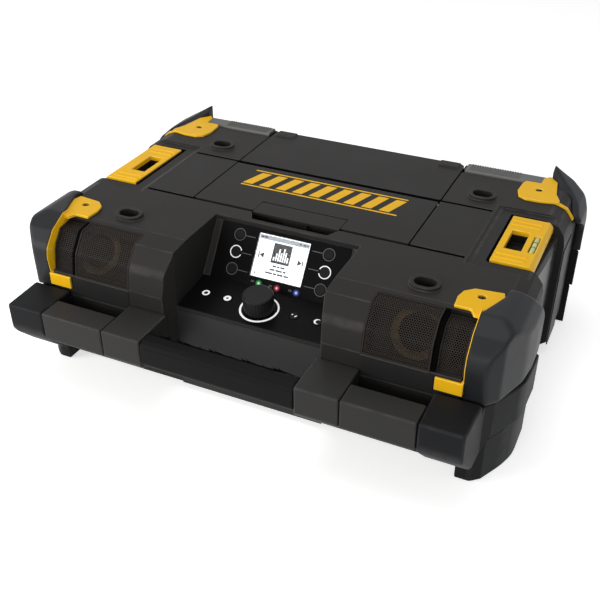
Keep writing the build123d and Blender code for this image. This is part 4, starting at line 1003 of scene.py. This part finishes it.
def facing(origin, normal):
    """The place of a face: X across, Y up the face, Z out of it."""
    across = Vector((1.0, 0.0, 0.0))
    up = normal.cross(across)
    turn = Matrix((across, up, normal)).transposed().to_4x4()
    return Matrix.Translation(origin) @ turn


speaker_normal = Vector((0.0, -0.788, 0.616)).normalized()
ring_x, ring_y, ring_z = 141.5, -105.0, 119.3
ring_profile = ((14.8, 0.2), (20.6, 0.2), (20.6, 1.0), (17.7, 1.3), (14.8, 1.0))
rings = bmesh.new()
for side in (-1, 1):
    mouth = facing(Vector((side * ring_x, ring_y, ring_z)) * MM, speaker_normal)
    turned(rings, mouth, ring_profile)
piece_from("speaker_rings", rings, speaker_bronze, "root")


# ---------------------------------------------------------------- display
# A small backlit screen lies behind a thin clear lens. It shows a plain player
# page: a heading, a picture tile of level bars, lines of text and two arrows.
joint_axis = {joint["name"]: Vector(joint["axis"]) for joint in frame["joints"]}
slope_normal = -joint_axis["preset_1_press"].normalized()
console_normal = -joint_axis["key_1_press"].normalized()


def reach_along(node, axis):
    """How far the CAD node reaches along an axis, lowest and highest."""
    along = [vertex.co.dot(axis) for vertex in frame["nodes"][node].data.vertices]
    return min(along), max(along)


def face_of(node, normal):
    """The place of the node's face that looks along normal, with its origin in the middle."""
    up = normal.cross(Vector((1.0, 0.0, 0.0)))
    left, right = reach_along(node, Vector((1.0, 0.0, 0.0)))
    origin = Vector(((left + right) / 2, 0.0, 0.0)) + up * sum(reach_along(node, up)) / 2
    return facing(origin + normal * reach_along(node, normal)[1], normal)


def pad(shape, place, outline, layer):
    """A thin solid on a face, between the two heights of its layer."""
    join_sections(shape, [
        [shape.verts.new(place @ (Vector((u, v, height)) * MM)) for u, v in outline] for height in layer
    ])


def block(shape, place, u, v, across, up, layer):
    """A rectangular pad with its middle at (u, v)."""
    a, b = across / 2, up / 2
    pad(shape, place, ((u - a, v - b), (u + a, v - b), (u + a, v + b), (u - a, v + b)), layer)


def backlit(name, colour, strength, cell_pitch=0.20):
    """A backlit area of the screen: its colour broken by the faint grid of the cells."""
    material, tree, output = new_material(name)
    spot = vector_node(tree, "SCALE", object_place(tree), scale=math.tau / (cell_pitch * MM))
    waves = [math_node(tree, "SINE", axis) for axis in add(tree, "ShaderNodeSeparateXYZ", {0: spot}).outputs]
    weave = math_node(tree, "MULTIPLY_ADD", math_node(tree, "MULTIPLY", waves[0], waves[2]), 0.06, 0.94)
    lit = colour_between(tree, weave, toned(colour, 0.6), colour)
    set_skin(tree, output, {
        "Base Color": lit, "Roughness": 0.4, "Emission Color": lit, "Emission Strength": strength,
    })
    return material


screen_white = backlit("screen_white", (0.86, 0.89, 0.93), strength=0.75)
screen_ink = backlit("screen_ink", (0.012, 0.012, 0.016), strength=0.1)
screen_grey = backlit("screen_grey", (0.35, 0.38, 0.42), strength=0.35)
coat_nodes("screen", screen_ink)

screen = face_of("display_module", slope_normal)
screen_width, screen_height = 47.0, 37.4
page_layer = (-0.02, 0.05)
shade_layer = (0.05, 0.07)
ink_layer = (0.05, 0.08)
heading_layer = (0.07, 0.09)
level_layer = (0.08, 0.10)
page = bmesh.new()
block(page, screen, 0, 0, screen_width, screen_height, page_layer)
piece_from("screen_page", page, screen_white, "root")

shades = bmesh.new()
block(shades, screen, 0, 16.0, 46.0, 3.6, shade_layer)
for line in (-10.5, -13.4):
    block(shades, screen, 0.3, line, 0.5, 0.5, shade_layer)
piece_from("screen_shades", shades, screen_grey, "root")

ink = bmesh.new()
tile_middle, tile_size = 4.4, 17.0
block(ink, screen, 0, tile_middle, tile_size, tile_size, ink_layer)
word_gap, word_height = 0.9, 1.3
for line, words in ((-6.8, (3.4, 2.2, 3.8)), (-10.0, (4.6, 6.0, 2.6)), (-13.2, (6.4, 3.0, 5.2, 4.4))):
    start = -(sum(words) + word_gap * (len(words) - 1)) / 2
    for word in words:
        block(ink, screen, start + word / 2, line, word, word_height, ink_layer)
        start += word + word_gap
for u, word in ((-20.6, 2.2), (-17.4, 3.0), (14.8, 1.6), (18.6, 2.4), (21.4, 1.2)):
    block(ink, screen, u, 16.1, word, 1.2, heading_layer)
block(ink, screen, -20.4, -15.6, 0.8, 2.0, ink_layer)
arrow_tip, arrow_foot, arrow_stop = 19.6, 15.8, 20.4
arrow_middle, arrow_half = 0.6, 2.5
for side in (-1, 1):
    tip, foot = side * arrow_tip, side * arrow_foot
    corners = ((foot, arrow_middle - arrow_half), (tip, arrow_middle), (foot, arrow_middle + arrow_half))
    pad(ink, screen, corners, ink_layer)
    block(ink, screen, side * arrow_stop, arrow_middle, 0.9, 2 * arrow_half, ink_layer)
piece_from("screen_prints", ink, screen_ink, "root")

level_heights = (3.0, 6.5, 10.5, 7.5, 11.5, 8.5, 4.5)
level_pitch, level_width = 2.1, 1.3
level_foot = tile_middle - 6.4
levels = bmesh.new()
for number, height in enumerate(level_heights):
    u = level_pitch * (number - len(level_heights) // 2)
    block(levels, screen, u, level_foot + height / 2, level_width, height, level_layer)
piece_from("screen_levels", levels, screen_white, "root")

lens_clear, tree, output = new_material("lens_clear")
smear = place_group(tree, hand_marks, {})
set_skin(tree, output, {
    "Base Color": (1, 1, 1, 1), "Roughness": math_node(tree, "MULTIPLY_ADD", smear[0], 0.05, 0.0),
    "IOR": 1.45, "Transmission Weight": 1.0, "Specular IOR Level": 0.4,
})
coat_nodes("lens_clear", lens_clear)
lens_thickness = 0.9
lens = bmesh.new()
block(lens, face_of("display_lens", slope_normal), 0, 0, 47.6, 38.0, (-lens_thickness, 0.0))
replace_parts(piece_from("clear_lens", lens, lens_clear, "root"), "display_lens")


# ---------------------------------------------------------------- buttons and lights
# Six preset buttons flank the screen inside printed rings, four keys and the
# volume knob stand on the console, and three small lights glow between them.
button_black = moulded_plastic(
    "button_plastic", (0.0055, 0.0055, 0.0058), grey(0.03),
    roughness=0.42, specular=0.12, grains=3.0, depth=0.006, highlight_wear=0.3,
)
coat_nodes("button_black", button_black)
dress(" ".join(f"preset_button_{number}" for number in range(1, 7)), button_black, crisp=0.35)


def printed(name, colour, glow):
    """Screen printed ink, a little uneven, that also gives off a faint light of its own colour."""
    material, tree, output = new_material(name)
    tone = colour_between(tree, mottle(tree, 1400.0, 3.0), toned(colour, 0.82), colour)
    set_skin(tree, output, {
        "Base Color": tone, "Roughness": 0.5, "Specular IOR Level": 0.2,
        "Emission Color": tone, "Emission Strength": glow,
    })
    return material


ring_white = printed("ring_white", grey(0.82), glow=0.5)
ring_grey = printed("ring_grey", grey(0.13), glow=0.08)
coat_nodes("ring_white", ring_white)

plate = face_of("display_plate", slope_normal)
console = face_of("control_panel", console_normal)
print_height = 0.06
print_layer = (0.0, print_height)


def middle_of(node, place):
    """The middle of a CAD node as seen on a face, in mm."""
    low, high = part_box(node)
    spot = place.inverted() @ ((low + high) / 2)
    return spot.x / MM, spot.y / MM


def stroke(shape, place, start, end, breadth, layer):
    """A straight printed line between two points."""
    start, end = Vector(start), Vector(end)
    run = (end - start).normalized()
    side = Vector((-run.y, run.x)) * breadth / 2
    pad(shape, place, (start - side, end - side, end + side, start + side), layer)


def round_points(u, v, radius, angles):
    """The points of a circle at the given angles in degrees."""
    turns = [math.radians(angle) for angle in angles]
    return [(u + radius * math.cos(turn), v + radius * math.sin(turn)) for turn in turns]


def disc(shape, place, u, v, radius, layer, steps=28):
    """A round pad."""
    pad(shape, place, round_points(u, v, radius, [360 * step / steps for step in range(steps)]), layer)


def arc(shape, place, u, v, outer, inner, layer, start=0.0, sweep=360.0, steps=48):
    """A band along a circle, from the angle start over sweep degrees."""
    closed = sweep >= 360
    foot, top = layer
    angles = [start + sweep * step / steps for step in range(steps + (0 if closed else 1))]
    sections = []
    for outside, inside in zip(round_points(u, v, outer, angles), round_points(u, v, inner, angles)):
        corners = ((*outside, foot), (*outside, top), (*inside, top), (*inside, foot))
        sections.append([shape.verts.new(place @ (Vector(corner) * MM)) for corner in corners])
    join_sections(shape, sections, closed)


greys, whites = bmesh.new(), bmesh.new()
preset_ring = (5.4, 4.85)
lit_ring = (5.6, 4.75)
lit_presets = (2, 5)
line_start, line_end, line_breadth = 5.6, 26.6, 0.55
for number in range(1, 7):
    u, v = middle_of(f"preset_button_{number}", plate)
    side = 1 if u > 0 else -1
    if number in lit_presets:
        arc(whites, plate, u, v, *lit_ring, print_layer, start=200.0 if side > 0 else 20.0, sweep=320.0)
    else:
        arc(greys, plate, u, v, *preset_ring, print_layer)
    stroke(greys, plate, (u - side * line_start, v), (side * line_end, v), line_breadth, print_layer)
light_spots = {"green": (-14.0, -21.0), "red": (3.2, -21.4), "blue": (21.3, -21.3)}
for u, v in light_spots.values():
    for mark in (7.0, 5.8, 4.8):
        block(greys, plate, u - mark, v + 0.6, 0.7, 1.7, print_layer)
knob_arc = (16.8, 15.1)
arc(whites, console, *middle_of("knob_ring", console), *knob_arc, print_layer, start=163.0, sweep=199.0)
piece_from("plate_prints_grey", greys, ring_grey, "root")
piece_from("plate_prints_white", whites, ring_white, "root")

for number in range(1, 5):
    face = face_of(f"console_key_{number}", console_normal)
    prints = bmesh.new()
    if number == 1:
        disc(prints, face, 0, 0, 3.3, print_layer)
    elif number == 2:
        arc(prints, face, 0, 0, 3.4, 1.8, print_layer)
    elif number == 3:
        block(prints, face, -2.0, 0.9, 1.1, 1.1, print_layer)
        stroke(prints, face, (0.8, -1.2), (2.1, 0.6), 1.0, print_layer)
    else:
        moon = round_points(0, 0, 3.0, range(60, 301, 15))
        bite = round_points(1.0, 0, 2.4, range(285, 74, -15))
        pad(prints, face, moon + bite, print_layer)
    piece_from(f"key_{number}_print", prints, ring_white, f"key_{number}")
dot = bmesh.new()
disc(dot, face_of("console_key_1", console_normal), 0, 0, 1.2, (print_height, 2 * print_height))
piece_from("key_1_dot", dot, ring_grey, "key_1")


def fading(tree, apart, radius):
    """1 at the centre, falling evenly to 0 at a radius in mm."""
    left = math_node(tree, "MULTIPLY_ADD", apart, -1.0 / (radius * MM), 1.0)
    return add(tree, "ShaderNodeClamp", {"Value": left}).outputs[0]


def glowing(name, centre, tint, core, reach, strength):
    """Light that is brightest and palest at its centre and fades to nothing at reach."""
    material, tree, output = new_material(name)
    offset = add(tree, "ShaderNodeVectorMath", {0: object_place(tree), 1: centre}, operation="DISTANCE")
    near = fading(tree, offset.outputs["Value"], reach)
    pale = fading(tree, offset.outputs["Value"], core)
    fade = math_node(tree, "MULTIPLY", near, near)
    colour = colour_between(tree, math_node(tree, "MULTIPLY", pale, 0.8), tint, grey(1.0))
    set_skin(tree, output, {
        "Base Color": opaque(grey(0.004)), "Roughness": 0.35, "Specular IOR Level": 0.05,
        "Emission Color": colour, "Emission Strength": math_node(tree, "MULTIPLY", fade, strength),
    })
    return material


light_tints = {"green": (0.10, 0.80, 0.24), "red": (0.90, 0.10, 0.15), "blue": (0.16, 0.26, 1.00)}
halo_radius = 3.6
halo_core = 1.3
halo_strength = 1.3
for name, (u, v) in light_spots.items():
    centre = plate @ (Vector((u, v, 0.0)) * MM)
    light = glowing(f"{name}_light", centre, light_tints[name], halo_core, halo_radius, halo_strength)
    halo = bmesh.new()
    disc(halo, plate, u, v, halo_radius, (0.0, print_height / 2))
    piece_from(f"{name}_halo", halo, light, "root")
coat_nodes("indicator", printed("light_pipe", grey(0.5), glow=0.2))


# ---------------------------------------------------------------- volume knob
# A tall fluted knob of dark plastic with a smooth satin cap let into its top,
# pushed on the shaft of the encoder.
knob_black = moulded_plastic(
    "knob_plastic", (0.0115, 0.0115, 0.0120), grey(0.06),
    roughness=0.42, specular=0.14, grains=3.0, depth=0.006, highlight_wear=0.6,
)
coat_nodes("knob_black", knob_black)
dress("volume_knob", knob_black, crisp=0.3)
cap_profile = ((0.0, 0.12), (9.5, 0.12), (11.2, 0.30), (11.6, 0.12), (11.6, -0.3), (0.0, -0.3))
cap = bmesh.new()
turned(cap, face_of("volume_knob", console_normal), cap_profile, steps=72)
piece_from("knob_cap", cap, knob_black, "knob")


# ---------------------------------------------------------------- rails
# Two ribbed rails of grey satin metal lie along the back, where a strap or a
# second case is hooked in.
rail_grey, tree, output = new_material("rail_metal")
drawn = add(tree, "ShaderNodeMapping", {"Vector": object_place(tree), "Scale": (40.0, 2600.0, 2600.0)})
streaks = add(tree, "ShaderNodeTexNoise", {"Vector": drawn.outputs[0], "Scale": 1.0, "Detail": 3.0})
set_skin(tree, output, {
    "Base Color": colour_between(tree, streaks.outputs[0], grey(0.135), (0.185, 0.182, 0.178)),
    "Roughness": math_node(tree, "MULTIPLY_ADD", streaks.outputs[0], 0.2, 0.45),
    "Metallic": 0.1, "Specular IOR Level": 0.12,
})
coat_nodes("rail_grey", rail_grey)
dress("rear_rails", rail_grey, crisp=0.6, soft=0.8)

row_of_bars, given, made = geometry_tree("row_of_bars", {
    "Count": "Int", "Start": "Vector", "Step": "Vector", "Size": "Vector", "Slant": "Float",
    "Material": "Material",
})
tree = row_of_bars
places = add(tree, "GeometryNodeMeshLine", {
    "Count": given["Count"], "Start Location": given["Start"], "Offset": given["Step"],
}, mode="OFFSET")
one_bar = add(tree, "GeometryNodeMeshCube", {"Size": given["Size"]})
placed = add(tree, "GeometryNodeInstanceOnPoints", {
    "Points": places.outputs[0], "Instance": one_bar.outputs[0],
})
real = add(tree, "GeometryNodeRealizeInstances", {0: placed.outputs[0]})
where = add(tree, "GeometryNodeInputPosition").outputs[0]
from_start = add(tree, "ShaderNodeSeparateXYZ", {0: vector_node(tree, "SUBTRACT", where, given["Start"])})
lean = math_node(tree, "MULTIPLY", from_start.outputs[1], given["Slant"])
leaning = add(tree, "GeometryNodeSetPosition", {
    "Geometry": real.outputs[0], "Offset": add(tree, "ShaderNodeCombineXYZ", {0: lean}).outputs[0],
})
finish_tree(tree, leaning.outputs[0], given["Material"], made)


def bars(name, count, start, step, size, material, body, slant=0.0, rounding=0.15):
    """A row of equal bars with rounded edges; sizes and places in mm."""
    piece = grown(name, bpy.data.meshes.new(name), row_of_bars, {
        "Count": count, "Start": Vector(start) * MM, "Step": Vector(step) * MM, "Size": Vector(size) * MM,
        "Slant": slant, "Material": material,
    })
    bevel = piece.modifiers.new("rounding", "BEVEL")
    bevel.width = rounding * MM
    bevel.segments = 2
    settle(piece)
    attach(piece, body)


rib_pitch = 2.4
rib_size = (1.0, 13.0, 0.9)
for side, name in ((-1, "left"), (1, "right")):
    start = (side * 108.5, rail_low.y + 7.6, rail_high.z + 0.2)
    bars(f"{name}_rail_ribs", 20, start, (side * rib_pitch, 0, 0), rib_size, rail_grey, "root")


# ---------------------------------------------------------------- lid stripes
# A band of raised slanting stripes between two thin lines is moulded on the
# lid in yellow.
stripe_height = 0.5
stripe_middle = 43.5
stripe_count = 9
stripe_pitch = 16.75
stripe_slant = 0.32
stripe_size = (9.6, 25.0, stripe_height)
line_size = (152.0, 1.7, stripe_height)
line_apart = 31.6
first_stripe = ((1 - stripe_count) / 2 * stripe_pitch, stripe_middle, lid_high.z)
first_line = (0, stripe_middle - line_apart / 2, lid_high.z)
bars("lid_stripes", stripe_count, first_stripe, (stripe_pitch, 0, 0), stripe_size,
     trim_yellow, "lid", slant=stripe_slant)
bars("lid_lines", 2, first_line, (0, line_apart, 0), line_size, trim_yellow, "lid")


# ---------------------------------------------------------------- latch ribs and vial
# Each latch has two pairs of ribs across it for the thumb. The right one also
# holds a small vial of green liquid with a bubble between two black rings.
thumb_rib_size = (25.0, 3.2, 1.2)
thumb_rib_pitch = 7.0
for side, name in ((-1, "left"), (1, "right")):
    for end, y in (("front", latch_low.y + 6.5), ("back", latch_high.y - 15.0)):
        start = (side * 182.0, y, latch_high.z - 0.1)
        bars(f"{name}_latch_{end}_ribs", 2, start, (0, thumb_rib_pitch, 0), thumb_rib_size,
             trim_yellow, f"latch_{name}", rounding=0.5)

vial_low, vial_high = box_mm("spirit_vial")
vial_length = vial_high.y - vial_low.y
vial_radius = (vial_high.x - vial_low.x) / 2
along_vial = Matrix.Translation((vial_low + vial_high) / 2 * MM) @ Matrix.Rotation(math.radians(-90), 4, "X")


def capsule(length, radius, steps=6):
    """Profile of a rod with rounded ends."""
    straight = length / 2 - radius
    turns = [math.radians(90 * step / steps) for step in range(steps + 1)]
    foot = [(radius * math.sin(turn), -straight - radius * math.cos(turn)) for turn in turns]
    head = [(r, -h) for r, h in reversed(foot)]
    return [(0.0, -length / 2)] + foot[1:] + head[:-1] + [(0.0, length / 2)]


vial_clear, tree, output = new_material("vial_clear")
set_skin(tree, output, {
    "Base Color": colour_between(tree, mottle(tree, 400.0), (0.42, 0.50, 0.13), (0.55, 0.62, 0.22)),
    "Roughness": 0.08, "Specular IOR Level": 0.6, "Coat Weight": 0.6, "Coat Roughness": 0.05,
})
coat_nodes("vial_clear", vial_clear)
vial = bmesh.new()
turned(vial, along_vial, capsule(vial_length, vial_radius), steps=24)
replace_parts(piece_from("vial_tube", vial, vial_clear, "latch_right"), "spirit_vial")

band_inner, band_outer, band_half = vial_radius - 0.3, vial_radius + 0.04, 0.45
band_profile = (
    (band_inner, -band_half), (band_outer, -band_half), (band_outer, band_half), (band_inner, band_half),
)
vial_rings = bmesh.new()
for offset in (-4.2, 4.2):
    turned(vial_rings, along_vial @ Matrix.Translation((0, 0, offset * MM)), band_profile, steps=24)
piece_from("vial_rings", vial_rings, button_black, "latch_right")

bubble_length, bubble_slack, bubble_rise = 6.0, 0.28, 0.35
bubble = bmesh.new()
bubble_place = along_vial @ Matrix.Translation((0, -bubble_rise * MM, 0))
turned(bubble, bubble_place, capsule(bubble_length, vial_radius - bubble_slack), steps=20)
bubble_clear = printed("vial_bubble", (0.80, 0.84, 0.55), glow=0.0)
piece_from("vial_bubble", bubble, bubble_clear, "latch_right")


# ---------------------------------------------------------------- screws
# Pan head screws of dark steel with star recesses hold the yellow trims, and
# longer ones of the same kind hold the shells together from below.
def steel(name, colour, roughness):
    """Plated steel with fine turning marks."""
    material, tree, output = new_material(name)
    turnings = mottle(tree, 3000.0)
    set_skin(tree, output, {
        "Base Color": colour_between(tree, turnings, toned(colour, 0.8), colour),
        "Metallic": 0.9, "Roughness": math_node(tree, "MULTIPLY_ADD", turnings, 0.15, roughness),
    })
    return material


steel_dark = steel("dark_steel", (0.055, 0.055, 0.06), roughness=0.30)
coat_nodes("steel_dark", steel_dark)
coat_nodes("steel", steel("bright_steel", (0.45, 0.45, 0.46), roughness=0.22))

star_screws, given, made = geometry_tree("star_screws", {
    "Radius": "Float", "Height": "Float", "Recess": "Float", "Material": "Material",
})
tree = star_screws
head = add(tree, "GeometryNodeMeshCylinder", {
    "Vertices": 36, "Side Segments": 1, "Radius": given["Radius"], "Depth": given["Height"],
}, fill_type="NGON")


def step_in(tree, geometry, faces, rise, shrink):
    """Raises or sinks the chosen faces and draws them in."""
    raised = add(tree, "GeometryNodeExtrudeMesh", {
        "Mesh": geometry, "Selection": faces, "Offset Scale": rise, "Individual": False,
    }, mode="FACES")
    drawn = add(tree, "GeometryNodeScaleElements", {
        "Geometry": raised.outputs["Mesh"], "Selection": raised.outputs["Top"], "Scale": shrink,
    })
    return drawn.outputs[0], raised.outputs["Top"]


height_part = math_node(tree, "MULTIPLY", given["Height"], 0.35)
geometry, faces = step_in(tree, head.outputs[0], head.outputs["Top"], height_part, 0.90)
geometry, faces = step_in(tree, geometry, faces, math_node(tree, "MULTIPLY", height_part, 0.4), 0.86)
geometry, faces = step_in(tree, geometry, faces, 0.0, 0.62)
star_points = 6.0
star_depth = 0.16
where = add(tree, "GeometryNodeInputPosition").outputs[0]
spot = add(tree, "ShaderNodeSeparateXYZ", {0: where}).outputs
around = math_node(tree, "MULTIPLY", math_node(tree, "ARCTAN2", spot[1], spot[0]), star_points)
petals = math_node(tree, "MULTIPLY_ADD", math_node(tree, "COSINE", around), star_depth, 1.0)
spread = add(tree, "ShaderNodeCombineXYZ", {0: petals, 1: petals, 2: 1.0}).outputs[0]
starred = add(tree, "GeometryNodeSetPosition", {
    "Geometry": geometry, "Selection": faces, "Position": vector_node(tree, "MULTIPLY", where, spread),
})
sunk = math_node(tree, "MULTIPLY", given["Recess"], -1.0)
geometry, faces = step_in(tree, starred.outputs[0], faces, sunk, 0.92)
seated = add(tree, "GeometryNodeInstanceOnPoints", {"Points": given["Geometry"], "Instance": geometry})
finish_tree(tree, seated.outputs[0], given["Material"], made)

screw_low, screw_high = box_mm("trim_screws")
head_radius = 2.4
head_height = 1.2
head_drop = 0.6
recess_depth = 0.9
screw_x = screw_high.x - head_radius
screw_z = screw_high.z - head_height / 2 - head_drop
screw_ys = (screw_low.y + head_radius, screw_high.y - head_radius)
seats = bpy.data.meshes.new("trim_screw_heads")
seats.from_pydata([Vector((x, y, screw_z)) * MM for x in (-screw_x, screw_x) for y in screw_ys], [], [])
heads = grown("trim_screw_heads", seats, star_screws, {
    "Radius": head_radius * MM, "Height": head_height * MM, "Recess": recess_depth * MM,
    "Material": steel_dark,
})
settle(heads)
smooth_faces(heads, sharp=30.0)
stands_for(heads, "trim_screws")


# ---------------------------------------------------------------- inner parts
# The boards, the power supply, the magnets and the seal of the lid are only seen when
# the case is opened up, and the grey fascia below the console lies behind the grip.
# Each has the finish of its own material.
coat_nodes("board_green", moulded_plastic(
    "board_green", (0.010, 0.10, 0.030), (0.25, 0.22, 0.10),
    roughness=0.4, specular=0.4, grains=1.0, depth=0.02, highlight_wear=0.5,
))
coat_nodes("magnet", moulded_plastic(
    "ferrite", (0.035, 0.035, 0.037), grey(0.09),
    roughness=0.5, specular=0.3, grains=1.5, depth=0.02, highlight_wear=0.5,
))
coat_nodes("seal_rubber", moulded_plastic(
    "seal_rubber", grey(0.012), grey(0.03),
    roughness=0.6, specular=0.2, grains=1.5, depth=0.02, highlight_wear=0.2,
))
coat_nodes("fascia_grey", moulded_plastic(
    "fascia_plastic", (0.024, 0.0235, 0.0235), grey(0.06),
    roughness=0.46, specular=0.2, grains=2.0, depth=0.02, highlight_wear=0.4,
))


low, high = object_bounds()
